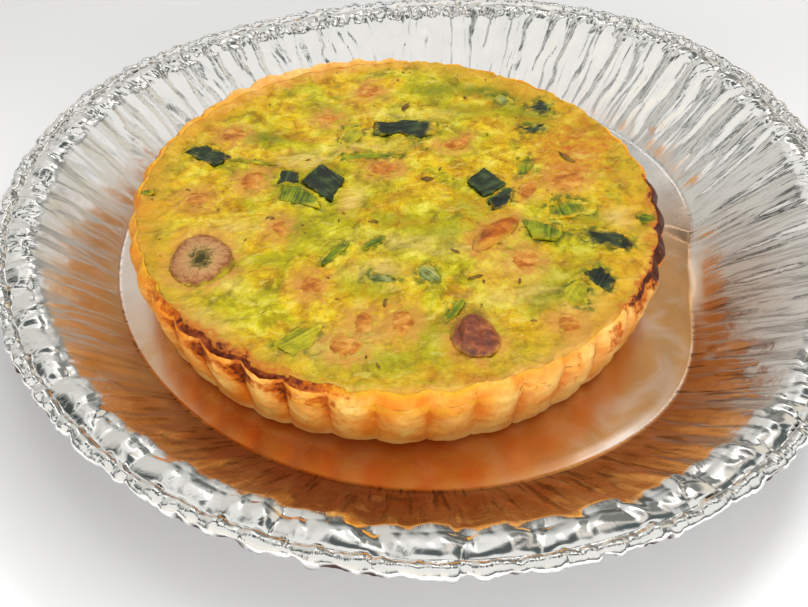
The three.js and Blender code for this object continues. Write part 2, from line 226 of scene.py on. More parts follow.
class Nodes:
    """Short calls that add shader nodes to a tree and return their sockets."""

    def __init__(self, tree, place, colour):
        self.tree = tree
        self.colour = colour
        self.place = self.fed("ShaderNodeTexCoord", place, {})

    def add(self, kind, **settings):
        node = self.tree.nodes.new(kind)
        for key, value in settings.items():
            setattr(node, key, value)
        return node

    def feed(self, node, key, value):
        socket = node.inputs[key]
        if isinstance(value, bpy.types.NodeSocket):
            self.tree.links.new(value, socket)
        else:
            socket.default_value = value

    def fed(self, kind, output, inputs, **settings):
        """One output of a new node whose inputs are fed, by name or number."""
        node = self.add(kind, **settings)
        for key, value in inputs.items():
            self.feed(node, key, value)
        return node.outputs[output]

    def math(self, operation, first, second):
        return self.fed("ShaderNodeMath", "Value", {0: first, 1: second}, operation=operation)

    def vector(self, operation, inputs, output="Vector"):
        return self.fed("ShaderNodeVectorMath", output, inputs, operation=operation)

    def axis(self, name):
        """The places' own X, Y or Z."""
        return self.fed("ShaderNodeSeparateXYZ", name, {0: self.place})

    def spread(self, value, low, high, to_low=0.0, to_high=1.0, kind="SMOOTHSTEP"):
        """Values from low to high stretched over a new range."""
        inputs = {"Value": value, "From Min": low, "From Max": high, "To Min": to_low, "To Max": to_high}
        return self.fed("ShaderNodeMapRange", "Result", inputs, interpolation_type=kind)

    def ramp(self, value, stops):
        node = self.add("ShaderNodeValToRGB")
        self.feed(node, "Fac", value)
        elements = node.color_ramp.elements
        while len(elements) < len(stops):
            elements.new(0.5)
        for element, (position, colour) in zip(elements, stops):
            element.position = position
            element.color = self.colour(*colour)
        return node.outputs["Color"]

    def mix(self, share, first, second):
        """From the first colour to the second; a colour is a socket or three numbers."""
        inputs = {0: share}
        for key, value in ((6, first), (7, second)):
            inputs[key] = self.colour(*value) if isinstance(value, tuple) else value
        return self.fed("ShaderNodeMix", 2, inputs, data_type="RGBA", clamp_factor=True)


class Finish(Nodes):
    """One material and its shader."""

    def __init__(self, name, **settings):
        self.material = bpy.data.materials.new(name)
        self.material.use_nodes = True
        super().__init__(self.material.node_tree, "Object", linear)
        self.surface = self.tree.nodes["Principled BSDF"]
        self.set(**settings)

    def set(self, **settings):
        """Feeds the shader's own sockets; an underscore in a name is a space."""
        for key, value in settings.items():
            self.feed(self.surface, key.replace("_", " "), value)

    def mapped(self, scale, location=(0, 0, 0), turn=0, kind="POINT"):
        """Places scaled along each axis, turned in plan and moved."""
        inputs = {"Vector": self.place, "Scale": scale, "Location": location,
                  "Rotation": (0, 0, math.radians(turn))}
        return self.fed("ShaderNodeMapping", "Vector", inputs, vector_type=kind)

    def drawn_out(self, length, turn):
        """Places that draw a pattern out `length` times along one direction in plan."""
        return self.mapped((length, 1, 1), turn=turn, kind="TEXTURE")

    def fanned(self, centre, reach, drift):
        """Places that vary round a centre in plan and only slowly outwards from it."""
        from_centre = self.mapped((1, 1, 0), (-centre[0] * MM, -centre[1] * MM, 0))
        outwards = self.vector("NORMALIZE", {0: from_centre})
        around = self.vector("SCALE", {0: outwards, "Scale": reach * MM})
        return self.vector("ADD", {0: around, 1: self.mapped((drift, drift, drift))})

    def noise(self, size, detail=3.0, roughness=0.55, place=None, warp=0.0):
        """Noise with blotches `size` mm across, 0 to 1."""
        inputs = {"Vector": self.place if place is None else place, "Scale": 1 / (size * MM),
                  "Detail": detail, "Roughness": roughness, "Distortion": warp}
        return self.fed("ShaderNodeTexNoise", "Fac", inputs)

    def mask(self, name):
        return self.fed("ShaderNodeAttribute", "Fac", {}, attribute_name=name)

    def wandering(self, mask, pattern, reach):
        """A mask whose edge wanders with a pattern."""
        drift = self.math("MULTIPLY", self.math("SUBTRACT", pattern, 0.5), reach)
        return self.math("ADD", self.mask(mask), drift)

    def patched(self, base, mask, pattern, span, colour):
        """A colour over a base where a mask is, broken up by a pattern that is spread over a span."""
        share = self.math("MULTIPLY", self.mask(mask), self.spread(pattern, *span))
        return self.mix(share, base, colour)

    def let_light_in(self, weight, green, blue):
        """Light goes a little way in, and red goes the farthest."""
        self.set(Subsurface_Weight=weight, Subsurface_Radius=(1.0, green, blue), Subsurface_Scale=LIGHT_REACH)

    def bump(self, height, distance, strength=1.0, below=None):
        """Fine relief: height 1 stands `distance` mm over height 0."""
        inputs = {"Height": height, "Distance": distance * MM, "Strength": strength}
        if below is not None:
            inputs["Normal"] = below
        return self.fed("ShaderNodeBump", "Normal", inputs)


def foil_finish():
    """Bright foil: masks say where it is smooth or dull, where a grease film and a painted warm reflection
    colour it, and where painted shade darkens its fold valleys and the pinched places of its rolled edge.
    """
    f = Finish("bright_foil")
    gap_shade = f.mask("gap_shade")
    smooth = f.mask("smooth")
    haze = f.noise(9, detail=4)
    clean = f.ramp(haze, [(0.3, (241, 241, 238)), (0.75, (252, 251, 248))])
    # The film colour is partly grease and partly a painted warm reflection of the crust.
    grease_and_reflection_tint = f.mix(smooth, (190, 150, 120), (222, 166, 104))
    grease_and_reflection_tinted = f.patched(clean, "film", f.noise(14, detail=3, warp=0.6), (0.3, 0.6, 0.72, 1.0), grease_and_reflection_tint)
    streaks = f.noise(2.0, detail=3, roughness=0.55, place=f.fanned((0, 0), 110, 0.12))
    # Painted shade: dark brown lines in the fold valleys where the film lies, for the shade in the folds.
    lines = f.math("MULTIPLY", f.mask("film"), f.spread(streaks, 0.49, 0.36, 0.0, 0.85))
    fold_shaded = f.mix(f.math("MULTIPLY", lines, f.spread(smooth, 0, 1, 1, 0)), grease_and_reflection_tinted, (88, 62, 46))
    worn = f.math("ADD", f.mask("dull"), gap_shade)
    # Painted shade: dark brown, dull and not metallic where the rolled edge is pinched, for the shadow there.
    f.set(Base_Color=f.mix(gap_shade, fold_shaded, (58, 38, 32)), Metallic=f.spread(gap_shade, 0, 1, 1, 0),
          Roughness=f.math("ADD", f.spread(haze, 0.3, 0.75, 0.1, 0.16), worn))
    crumple = f.noise(3.4, detail=2, roughness=0.45, warp=1.0)
    folds_seen = f.bump(streaks, 0.36, f.spread(smooth, 0, 1, 0.85, 0.0))
    f.set(Normal=f.bump(crumple, 0.45, f.mask("crumpled"), below=folds_seen))
    return f.material


def pastry_finish():
    f = Finish("baked_pastry", Specular_IOR_Level=0.2)
    blotch = f.noise(8, detail=3, roughness=0.5)
    crumb = f.noise(1.6, detail=4, roughness=0.6)
    golden = f.ramp(blotch, [(0.34, (236, 138, 34)), (0.5, (250, 172, 64)), (0.66, (255, 202, 104))])
    speckled = f.mix(f.spread(crumb, 0.48, 0.72, 0.0, 0.4), golden, (214, 122, 26))
    # Painted shade: deeper orange in the flute grooves, from the recess mask.
    deep = f.patched(speckled, "recess", f.noise(3.2, detail=4), (0.3, 0.56, 0.3, 1.0), (222, 116, 22))
    pale = f.patched(deep, "pale", blotch, (0.3, 0.6, 0.4, 1.0), (252, 212, 138))
    eggy = f.patched(pale, "eggy", f.noise(3, detail=4), (0.34, 0.58), (226, 172, 34))
    edge = f.noise(2.2, detail=5, roughness=0.65)
    burn_level = f.wandering("burn", edge, 1.5)
    rusty = f.mix(f.spread(burn_level, 0.1, 0.5, 0.0, 0.9), eggy, (186, 84, 14))
    char = f.ramp(f.noise(2.0, detail=5, roughness=0.65),
                  [(0.34, (64, 20, 8)), (0.5, (118, 46, 16)), (0.68, (172, 86, 34))])
    burn = f.spread(burn_level, 0.46, 0.74)
    burnt = f.mix(burn, rusty, char)
    crisp = f.wandering("black", edge, 2.2)
    f.set(Base_Color=f.mix(f.spread(crisp, 0.4, 0.84, 0.0, 0.86), burnt, (66, 32, 24)),
          Roughness=f.spread(burn, 0, 1, 0.6, 0.34))
    f.let_light_in(0.08, 0.6, 0.3)
    flakes = f.noise(3.0, detail=5, roughness=0.6)
    f.set(Normal=f.bump(crumb, 0.14, below=f.bump(flakes, 0.45)))
    return f.material


def egg_tones(f):
    """Baked egg before any browning, with the lumps and strands that give it its tones."""
    broad = f.noise(16, detail=2, warp=0.7)
    lumps = f.noise(5.4, detail=6, roughness=0.6, warp=0.5)
    strands = f.noise(2.2, detail=6, roughness=0.62, place=f.drawn_out(2.8, 16), warp=0.6)
    levels = (0.34, 0.46, 0.57, 0.7)
    yellow = f.ramp(lumps, list(zip(levels, ((164, 116, 0), (202, 156, 4), (220, 188, 20), (234, 214, 84)))))
    lime = f.ramp(lumps, list(zip(levels, ((128, 116, 0), (172, 158, 2), (200, 188, 16), (222, 212, 82)))))
    tones = f.mix(f.spread(broad, 0.42, 0.58), yellow, lime)
    light = f.mix(f.spread(strands, 0.54, 0.68, 0.0, 0.55), tones, (232, 212, 100))
    return f.mix(f.spread(strands, 0.44, 0.34, 0.0, 0.55), light, (150, 128, 2)), lumps, strands


MEATY_EGG = (202, 142, 64)


def filling_finish():
    f = Finish("baked_egg_filling", Specular_IOR_Level=0.3)
    egg, lumps, strands = egg_tones(f)
    fleck = f.noise(2.6, detail=4, roughness=0.6)
    crumbs = f.noise(0.9, detail=3, roughness=0.6)
    egg = f.mix(f.spread(crumbs, 0.56, 0.72, 0.0, 0.4), egg, (238, 222, 132))
    egg = f.mix(f.spread(crumbs, 0.44, 0.3, 0.0, 0.45), egg, (132, 104, 4))
    doughy = f.ramp(lumps, [(0.38, (208, 140, 54)), (0.62, (226, 174, 92))])
    for mask, pattern, span, colour in (
        ("green", lumps, (0.36, 0.56, 0.4, 1.0), (112, 118, 2)),
        ("cream", strands, (0.38, 0.56, 0.3, 1.0), (220, 194, 108)),
        ("golden", lumps, (0.36, 0.6, 0.5, 1.0), (204, 140, 42)),
        ("near_meat", fleck, (0.34, 0.56, 0.15, 0.85), MEATY_EGG),
        ("near_leaf", fleck, (0.42, 0.6, 0.0, 0.9), (84, 98, 24)),
        ("crusty", fleck, (0.36, 0.6, 0.35, 1.0), doughy),
    ):
        egg = f.patched(egg, mask, pattern, span, colour)
    browning = f.wandering("brown", f.noise(2.9, detail=6, roughness=0.68, warp=0.5), 2.2)
    browned = f.mix(f.spread(browning, 0.3, 1.45), egg, (190, 104, 32))
    f.set(Base_Color=f.mix(f.spread(browning, 1.2, 1.5), browned, (84, 30, 12)),
          Roughness=f.spread(fleck, 0.35, 0.65, 0.26, 0.48))
    f.let_light_in(0.12, 0.8, 0.3)
    grain = f.noise(1.1, detail=3, roughness=0.55)
    f.set(Normal=f.bump(grain, 0.1, below=f.bump(lumps, 0.7, below=f.bump(strands, 0.55))))
    return f.material


def leaf_finish(name, tones, wet):
    """Cooked leek: fine parallel ribs, a paler bloom, wet gloss and egg lapping over it."""
    f = Finish(name, Specular_IOR_Level=0.4)
    rib = f.fed("ShaderNodeTexNoise", "Fac", {"W": f.mask("across"), "Scale": 1.3, "Detail": 3.0},
                noise_dimensions="1D")
    bloom = f.noise(4.2, detail=4, roughness=0.55)
    level = f.math("ADD", f.math("MULTIPLY", rib, 0.3), f.math("MULTIPLY", bloom, 0.7))
    body = f.ramp(level, list(zip((0.38, 0.5, 0.62), tones)))
    cover = f.math("ADD", f.math("MULTIPLY", f.mask("edge"), 0.35), f.mask("film"))
    film = f.math("ADD", cover, f.noise(3.4, detail=5, roughness=0.6, warp=0.6))
    f.set(Base_Color=f.mix(f.spread(film, 0.86, 1.24, 0.0, 0.92), body, egg_tones(f)[0]),
          Roughness=f.spread(bloom, 0.3, 0.7, wet, wet + 0.2),
          Normal=f.bump(rib, 0.14, below=f.bump(f.noise(1.6, detail=3), 0.2)))
    return f.material


def egg_lapped(f, body, low, high, most, egg):
    """A topping's own colour with egg over its edge, from where it starts to where it is fullest."""
    film = f.math("ADD", f.mask("edge"), f.noise(3.0, detail=5, roughness=0.6))
    return f.mix(f.spread(film, low, high, 0.0, most), body, egg)


def meat_finish(name, tones, egg_from, veins=3.4, gloss=0.3):
    """Cooked meat with egg lapping over its edge; egg_from says where the egg starts and is full."""
    f = Finish(name, Specular_IOR_Level=gloss)
    blotch = f.noise(veins, detail=6, roughness=0.6, place=f.drawn_out(1.8, 8), warp=0.4)
    body = f.ramp(blotch, list(zip((0.36, 0.5, 0.64), tones)))
    egg = f.mix(0.6, egg_tones(f)[0], MEATY_EGG)
    f.set(Base_Color=egg_lapped(f, body, *egg_from, 0.9, egg),
          Roughness=f.spread(blotch, 0.3, 0.7, 0.27, 0.46),
          Normal=f.bump(f.noise(1.1, detail=4), 0.3, below=f.bump(blotch, 0.6)))
    f.let_light_in(0.05, 0.65, 0.3)
    return f.material


def mushroom_finish(middle):
    """A baked mushroom slice: browned rim, fine rays, a pale middle with herbs on it."""
    f = Finish("mushroom_flesh", Roughness=0.42, Specular_IOR_Level=0.3)
    spot = f.noise(2.2, detail=5, roughness=0.65, warp=1.2)
    rays = f.noise(0.9, detail=4, roughness=0.6, place=f.fanned(middle, 8, 0.2))
    flesh = f.ramp(f.wandering("edge", spot, 1.1), [
        (0.14, (54, 56, 14)), (0.3, (120, 104, 46)), (0.46, (196, 152, 96)),
        (0.78, (184, 130, 82)), (1.0, (138, 80, 38))])
    body = f.mix(f.spread(rays, 0.46, 0.66, 0.0, 0.42), flesh, (124, 78, 46))
    f.set(Base_Color=egg_lapped(f, body, 1.42, 1.75, 0.7, egg_tones(f)[0]),
          Normal=f.bump(rays, 0.2, below=f.bump(spot, 0.4)))
    return f.material


def herb_finish():
    f = Finish("dried_herb", Roughness=0.5)
    f.set(Base_Color=f.ramp(f.noise(2, detail=2), [(0.35, (96, 66, 16)), (0.65, (140, 106, 34))]))
    return f.material


# ---- The foil pan ----

PAN_COLUMNS = 1380
FRONT = -90
WALL_ROWS = 22
WALL_SLOPE = math.atan2(LEDGE_HEIGHT - FOIL, LEDGE_RADIUS - BASE_RADIUS)
FLAP_RISE = 1.2  # the folded flap beside the dent
UPTURN = 0.38  # where the floor's edge turns up a little, towards the front right
UPTURN_AT = 297
SHINE_AT = 290  # the middle of the grease film and its painted warm reflection, at the front right
FRONT_SPREAD = 24  # degrees that the folds are drawn apart at the front
BEAD_DROP = 0.1  # the rolled edge's middle line under the ledge
FLOOR_RADII = (12, 30, 48, 62, 70, 74, 78, 80, 82, 84, 86, 87.5, 88.5, 89.5, 90.5, BASE_RADIUS)
WALL_SHARES = np.linspace(0, 1, WALL_ROWS)[1:-1] ** 1.15
LEDGE_SHARES = (0, 0.12, 0.25, 0.38, 0.5, 0.62, 0.74, 0.86, 1)
BEAD_TURNS = range(170, -171, -26)
pan_degrees = np.arange(PAN_COLUMNS) * 360 / PAN_COLUMNS
pan_turn = np.radians(pan_degrees)
pan_signed = signed(pan_degrees)


def round_pan(reach, height=0.0):
    """Places round the pan to take noise from: the larger the reach, the more bumps there are."""
    return flat_points(np.cos(pan_turn) * reach, np.sin(pan_turn) * reach, height)


def folds(random, count, lean, low):
    """Fold lines round the pan, widest apart at its front: angles, how far they lean and heights."""
    pitch = 360 / count
    even = (np.arange(count) + random.uniform(-0.33, 0.33, count)) * pitch
    angles = even + FRONT_SPREAD * np.sin(np.radians(even - FRONT))
    leans = random.uniform(-lean, lean, count) * pitch
    heights = random.uniform(low, 1.0, count) * np.where(np.arange(count) % 2, 1, -1)
    return angles, leans, heights


def folded(lines, share, wander=0.0):
    """Height of the folds round one row; share moves the row along the lean, wander bends it."""
    angles, leans, heights = lines
    return np.interp(pan_degrees + wander, angles + leans * share, heights, period=360)


def pillowed(height):
    """Flat-sided folds from -1 to 1, with their crests rounded and their valleys kept sharp."""
    return 1 - (1 - height) ** 2 / 2


fold_draw = np.random.default_rng(71)
LEDGE_FOLDS = folds(fold_draw, 116, 0.6, 0.35)
WALL_FOLDS = folds(fold_draw, 236, 0.5, 0.3)
FINE_FOLDS = folds(fold_draw, 470, 0.4, 0.2)
BEAD_FOLDS = folds(fold_draw, 190, 0.9, 0.2)
BEAD_NICKS = folds(fold_draw, 330, 1.2, 0.1)
TAB_FOLDS = folds(fold_draw, 330, 0.9, 0.15)
# Where the rolled edge is pinched in from below, 0 to 1.
BEAD_GAPS = smoothstep(-0.04, 0.18, layered(round_pan(120), 7, 2, seed=12))


def flap_height(radius):
    """The flap at the dent, steep to the front, gentle to the back, pointed inwards; and the upturn."""
    front = pan_signed + 1.2 - 4.5 * smoothstep(92, 76, radius)
    rise = np.minimum(front / 3.0, (11 - pan_signed) / 9.2)
    upturn = UPTURN * hump(pan_degrees, UPTURN_AT, 14) * smoothstep(88, 91.9, radius)
    return FLAP_RISE * np.clip(rise, 0, 1) * smoothstep(74, 84, radius) + upturn


def pan_row(radius, height, rim=1.0, foot=0.0):
    """A ring of the pan with the rim's slow waves and the dent put on it."""
    for count, lift, lift_at, push, push_at in RIM_WAVES:
        height = height + rim * lift * np.cos(np.radians(count * (pan_degrees - lift_at)))
        radius = radius + rim * push * np.cos(np.radians(count * (pan_degrees - push_at)))
    radius = radius - foot * DENT_DEPTH * hump(pan_degrees, DENT_AT, DENT_SPREAD)
    return np.stack([radius * np.cos(pan_turn), radius * np.sin(pan_turn), height], 1)


def wall_fold(share):
    """Folds pressed into the wall, millimetres along its face's normal."""
    grow = smoothstep(0.0, 0.2, share)
    stretched = 1 - hump(pan_degrees, DENT_AT - 1, 13) * (1 - smoothstep(0.1, 0.5, share))
    bend = 1.1 * layered(round_pan(16, share * 2.6), 1, 2, seed=6)
    calm = 1 - 0.65 * share * hump(pan_degrees, FRONT, 50)
    calm_behind = 1 - 0.4 * hump(pan_degrees, 100, 50)
    broad = np.sin(1.4 * folded(LEDGE_FOLDS, 1.6 * (share - 1), bend)) * (0.35 + 0.55 * share)
    middle = np.sin(1.4 * folded(WALL_FOLDS, 2 * share, bend)) * 0.34
    fine = folded(FINE_FOLDS, 3 * share, bend) * 0.12
    loose = 0.3 * layered(round_pan(30, share * 1.6), 1.3, 2, seed=5)
    return grow * stretched * (broad * calm * calm_behind + middle + fine + loose)


def wall_row(share, under=0.0):
    """A ring of the wall: share goes from 0 at its foot to 1 at the ledge."""
    out = wall_fold(share) - under
    bevel = 1.8 * hump(pan_degrees, DENT_AT - 1, 9) * bell(share - 0.12, 0.09)
    flap = flap_height(BASE_RADIUS) * max(0, 1 - share / 0.5)
    radius = BASE_RADIUS + (LEDGE_RADIUS - BASE_RADIUS) * share - math.sin(WALL_SLOPE) * out
    height = FOIL + (LEDGE_HEIGHT - FOIL) * share + math.cos(WALL_SLOPE) * out - bevel + flap
    rim = np.interp(share, [0, 0.5, 1], [0, 0.45, 1])
    foot = np.interp(share, [0, 0.5, 1], [1, 0.5, 0])
    return pan_row(radius, np.maximum(height, 0), rim, foot)


def foot_share(radius):
    """How much of the dent reaches in to a radius of the floor."""
    return min(radius / BASE_RADIUS, 1) ** 5


def floor_row(radius):
    """A ring of the pan's floor: nearly flat, with one folded flap at the dent."""
    slow = 0.1 * layered(round_pan(radius), 16, 2, seed=9)
    still = smoothstep(BASE_RADIUS, BASE_RADIUS - 6, radius)
    return pan_row(radius, FOIL + slow * still + flap_height(radius), 0, foot_share(radius))


def ledge_row(share, under=0.0):
    """A ring of the ledge: share goes from 0 at the wall to 1 at the rolled edge."""
    width = PAN_RADIUS - BEAD_WIDTH - LEDGE_RADIUS
    broad = folded(LEDGE_FOLDS, share)
    bend = 1.2 * layered(round_pan(20, share * 1.4), 1, 2, seed=7)
    at_front = hump(pan_degrees, FRONT, 60)
    tabs = folded(TAB_FOLDS, 2 * share, bend) * (1 - (0.4 + 0.5 * smoothstep(0.45, 0.85, share)) * at_front)
    calm = 1 - 0.3 * (1 - share) * hump(pan_degrees, FRONT, 50)
    crease = calm * (pillowed(broad) * (0.9 - 0.5 * share) + pillowed(tabs) * (0.5 - 0.1 * share))
    tuck = calm * (0.6 * broad + 0.35 * tabs) * (1 - share)
    fall = 1.5 * (1 - share) ** 3 + 0.35 * (1 - 0.8 * at_front) * smoothstep(0.86, 1, share)
    return pan_row(LEDGE_RADIUS + width * share - tuck, LEDGE_HEIGHT + crease - fall - under)


def bead_crush(turn):
    """How far the rolled edge is crushed in or out, all round, at one turn of its section."""
    around = round_pan(60, turn / 90)
    dents = -0.5 * ridged(around, 3.4, 2, seed=4) ** 4
    nicks = 0.4 * folded(BEAD_FOLDS, turn / 120) + 0.32 * folded(BEAD_NICKS, turn / 100)
    return nicks + 0.4 * layered(around, 2.2, 2, seed=3) + dents


def bead_row(turn):
    """A ring of the rolled edge; turn is degrees up from its outermost line."""
    thickness = BEAD_RISE + bead_crush(turn) * (1 + 0.5 * smoothstep(20, -80, turn))
    pinch = 0.5 * BEAD_GAPS * bell(turn + 8, 28)
    out = np.minimum((thickness + 0.2) * math.cos(math.radians(turn)), 2.1) - pinch
    up = folded(LEDGE_FOLDS, 1) * 0.25 + (thickness - pinch) * math.sin(math.radians(turn))
    return pan_row(PAN_RADIUS - BEAD_WIDTH / 2 + out, LEDGE_HEIGHT - BEAD_DROP + up)


def foil_masks(count):
    """Where the foil is smooth, crumpled, under a film of grease and painted warm reflection, dark with
    painted shade where its rolled edge is pinched, and dull, for `count` rows.
    """
    smooth, crumpled, film, gap_shade, dull = np.zeros((5, count, PAN_COLUMNS))
    radii, shares = np.array(FLOOR_RADII)[:, None], WALL_SHARES[:, None]
    on_floor = slice(0, len(radii))
    on_wall = slice(len(radii), len(radii) + len(shares))
    on_ledge = slice(on_wall.stop, on_wall.stop + len(LEDGE_SHARES))
    on_bead = slice(on_ledge.stop, on_ledge.stop + len(BEAD_TURNS))
    smooth[on_floor] = 1
    dented = hump(pan_degrees, DENT_AT - 1, 11)
    smooth[on_floor.stop - 1] = dented
    smooth[on_wall] = dented * smoothstep(0.3, 0.12, shares)
    smooth[on_ledge] = 0.45 + 0.5 * hump(pan_degrees, FRONT, 50)
    crumpled[on_floor.stop + 4:on_wall.stop] = 0.3
    crumpled[on_ledge] = 0.45 - 0.36 * hump(pan_degrees, FRONT + 18, 62)
    crumpled[on_bead] = 0.8 - 0.45 * hump(pan_degrees, FRONT, 62)
    # The film: grease and a painted warm reflection, most at the front right, less at the back right, cleared
    # at the floor's upturned edge.
    from_shine = np.abs(signed(pan_degrees - SHINE_AT))
    back_right = hump(pan_degrees, 36, 28)
    around_floor = 0.4 + 0.6 * smoothstep(96, 62, from_shine) - 0.34 * back_right
    around_wall = smoothstep(88, 45, from_shine)
    clear_edge = 0.85 * smoothstep(87.5, 90, radii) * hump(pan_degrees, UPTURN_AT, 15)
    film[on_floor] = around_floor * (1 - clear_edge)
    film[on_wall] = 0.8 * around_wall * smoothstep(1.25, 0.2, shares)
    dull[on_floor] = 0.12 + 0.08 * smoothstep(88, 80, radii)
    dull[on_wall] = (0.1 + 0.14 * back_right) * smoothstep(0.7, 0.0, shares) \
        + 0.22 * hump(pan_degrees, 192, 42) + 0.1 * around_wall
    # Painted shade along the rolled edge's lower side where it is pinched.
    for row, turn in enumerate(BEAD_TURNS, on_bead.start):
        gap_shade[row] = BEAD_GAPS * smoothstep(38, 6, turn) * smoothstep(-130, -100, turn)
    return {"smooth": smooth, "crumpled": crumpled, "film": film, "gap_shade": gap_shade, "dull": dull}


def make_foil_pan():
    """The upper side from the middle out, round the rolled edge, and back in along the underside."""
    rows = [floor_row(radius) for radius in FLOOR_RADII]
    rows += [wall_row(share) for share in WALL_SHARES]
    rows += [ledge_row(share) for share in LEDGE_SHARES]
    rows += [bead_row(turn) for turn in BEAD_TURNS]
    rows += [ledge_row(share, FOIL) for share in (0.95, 0.6, 0.3, 0.08)]
    rows += [wall_row(share, FOIL) for share in (0.96, 0.8, 0.64, 0.48, 0.32, 0.18, 0.08)]
    mitre = FOIL * math.tan(WALL_SLOPE / 2)
    rows += [pan_row(radius, 0.0, 0, foot_share(radius)) for radius in (BASE_RADIUS + mitre, 80, 50, 20)]
    pan = skin("foil_pan", np.stack(rows), (0, 0, FOIL), (0, 0, 0), foil_finish(), foil_masks(len(rows)))
    dress(pan, "foil", "foil_tray")


# ---- The pastry case ----

CASE_COLUMNS = 1200
CASE_FOOT_INSIDE = CRUST_FOOT_RADIUS - 5
CASE_UNDERSIDE = CRUST_FOOT - 0.2
CASE_NOISE_RADIUS = 74
RIM_LEVELS = (21.5, 25)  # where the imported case's edge lies
RIM_INSIDE = (60, 73.3)
CASE_OUTSIDE = (60, 90)
RIM_TURN = 0.8  # the share across the edge where its top starts to turn down
RIM_DROP = 1.4  # the top of the fluted wall under the edge
RIM_ROWS = (0.0, 0.1, 0.24, 0.38, 0.52, 0.66, 0.78, 0.87, 0.94, 1.0)  # from the filling outwards
case_degrees = np.arange(CASE_COLUMNS) * 360 / CASE_COLUMNS
case_turn = np.radians(case_degrees)


def node_ring(name, low, high, nearest, farthest):
    """Angles and radii, about the quiche's centre, of a node's points in a band."""
    points = node_points(name)
    plan = points[:, :2] - QUICHE_CENTRE
    radius = np.hypot(plan[:, 0], plan[:, 1])
    kept = (points[:, 2] > low) & (points[:, 2] < high) & (radius > nearest) & (radius < farthest)
    degrees = np.degrees(np.arctan2(plan[kept, 1], plan[kept, 0])) % 360
    pairs = np.unique(np.round(np.stack([degrees, radius[kept]], 1), 2), axis=0)
    single = np.concatenate([[True], np.diff(pairs[:, 0]) > 0.05])
    return pairs[single, 0], pairs[single, 1]


def flutes():
    """The case's grooves: for each column how deep they are and its place from one to the next."""
    middle = (CRUST_FOOT + CRUST_TOP) / 2
    degrees, radius = node_ring("pastry_case", middle - 1, middle + 1, *CASE_OUTSIDE)
    lowest = (radius < np.roll(radius, 1)) & (radius < np.roll(radius, -1))
    at, depth = degrees[lowest], radius.max() - radius[lowest]
    before = (np.searchsorted(at, case_degrees, side="right") - 1) % len(at)
    after = (before + 1) % len(at)
    width = (at[after] - at[before]) % 360
    phase = np.clip(((case_degrees - at[before]) % 360) / width, 0, 1)
    return phase * depth[after] + (1 - phase) * depth[before], phase


groove_depth, flute_phase = flutes()
rim_degrees, rim_radius = node_ring("pastry_case", *RIM_LEVELS, *RIM_INSIDE)
inner_radius = np.interp(case_degrees, rim_degrees, rim_radius, period=360)
thick_edge = hump(case_degrees, 118, 34)
right_front = hump(case_degrees, 314, 26)
burnt_left = hump(case_degrees, 240, 22) * smoothstep(203, 212, case_degrees) \
    * smoothstep(268, 258, case_degrees)
case_signed = signed(case_degrees)
burnt_right = smoothstep(14, 1, case_signed) * smoothstep(-43, -33, case_signed)
burnt_inside = smoothstep(-22, -33, case_signed)


def case_wave(size, seed, height=0.0, stretch=1.0):
    """Noise round the case at one height."""
    x, y = CASE_NOISE_RADIUS * np.cos(case_turn), CASE_NOISE_RADIUS * np.sin(case_turn)
    return layered(flat_points(x, y, height * stretch), size, 3, seed)


toasted = 0.36 * right_front * smoothstep(-0.3, 0.4, case_wave(6, 57))


def case_row(radius, height):
    x = QUICHE_CENTRE[0] + radius * np.cos(case_turn)
    y = QUICHE_CENTRE[1] + radius * np.sin(case_turn)
    return np.stack([x, y, height + np.zeros(CASE_COLUMNS)], 1)


def crown_share(share):
    """How near each column is to a crown, 0 to 1: crowns are broad at the foot and narrow at the top."""
    return np.sin(np.pi * flute_phase) ** np.interp(share, [0, 0.5, 1], [0.45, 0.6, 0.9])


def outer_radius(share):
    """The fluted outside; share goes from 0 at the foot to 1 at the top."""
    crown = CRUST_FOOT_RADIUS + (CRUST_TOP_RADIUS - CRUST_FOOT_RADIUS) * share
    belly = 0.5 * math.sin(math.pi * share)
    depth = groove_depth * np.interp(share, [0, 0.25, 0.7, 1], [0.4, 0.7, 1.0, 0.75])
    ragged = 1.4 * thick_edge * share * case_wave(6, 53)
    shoulder = 0.8 * (1 - thick_edge) * smoothstep(0.72, 1, share) ** 2
    return crown + belly + ragged - shoulder - depth * (1 - crown_share(share))


def rim_top():
    """The edge's level all round, a little higher where it is thick and chipped here and there."""
    chips = 0.6 * smoothstep(0.1, 0.5, case_wave(6, 21))
    return CRUST_TOP + 0.5 * thick_edge + 0.3 * case_wave(3.5, 23) - chips


def rim_row(across, rounded):
    """A ring of the edge's top, from 0 at the filling to 1 outside: radius, height and masks."""
    crown = crown_share(1)
    on_top = across < RIM_TURN
    rough = 0.2 * case_wave(1.7, 31, across * 3) + 0.22 * case_wave(4, 33, across * 5)
    dip = 1.3 * burnt_left * crown * math.sin(math.pi * across / RIM_TURN) if on_top else 0
    edge = max(0, (across - 0.87) / 0.13) ** 2
    drop = 0.6 * edge * (1 - rounded) + 2.8 * rounded * max(0, (across - 0.05) / 0.95) ** 1.8
    outside = smoothstep(0.15, 0.6, across)
    band = 0.95 if on_top else 0.4 * (1.2 - crown)
    seen_black = max(smoothstep(-0.12, 0.3, across), 0.7 * smoothstep(0.6, 0.2, across))
    masks = {
        "burn": burnt_left * band + burnt_right * 0.8 * (1 - 0.7 * burnt_inside * outside)
        + toasted * outside,
        "recess": 0.35 * (1 - 0.7 * right_front),
        "pale": 0.7 * thick_edge + 0.4 * right_front,
        "eggy": smoothstep(0.8, 0.1, across) * (1 - 0.7 * thick_edge - 0.5 * right_front),
        "black": 1.1 * burnt_right * (1 - burnt_inside * smoothstep(0.3, 0.62, across)) * seen_black,
    }
    return inner_radius + (outer_radius(1) - inner_radius) * across, rim_top() + rough - dip - drop, masks


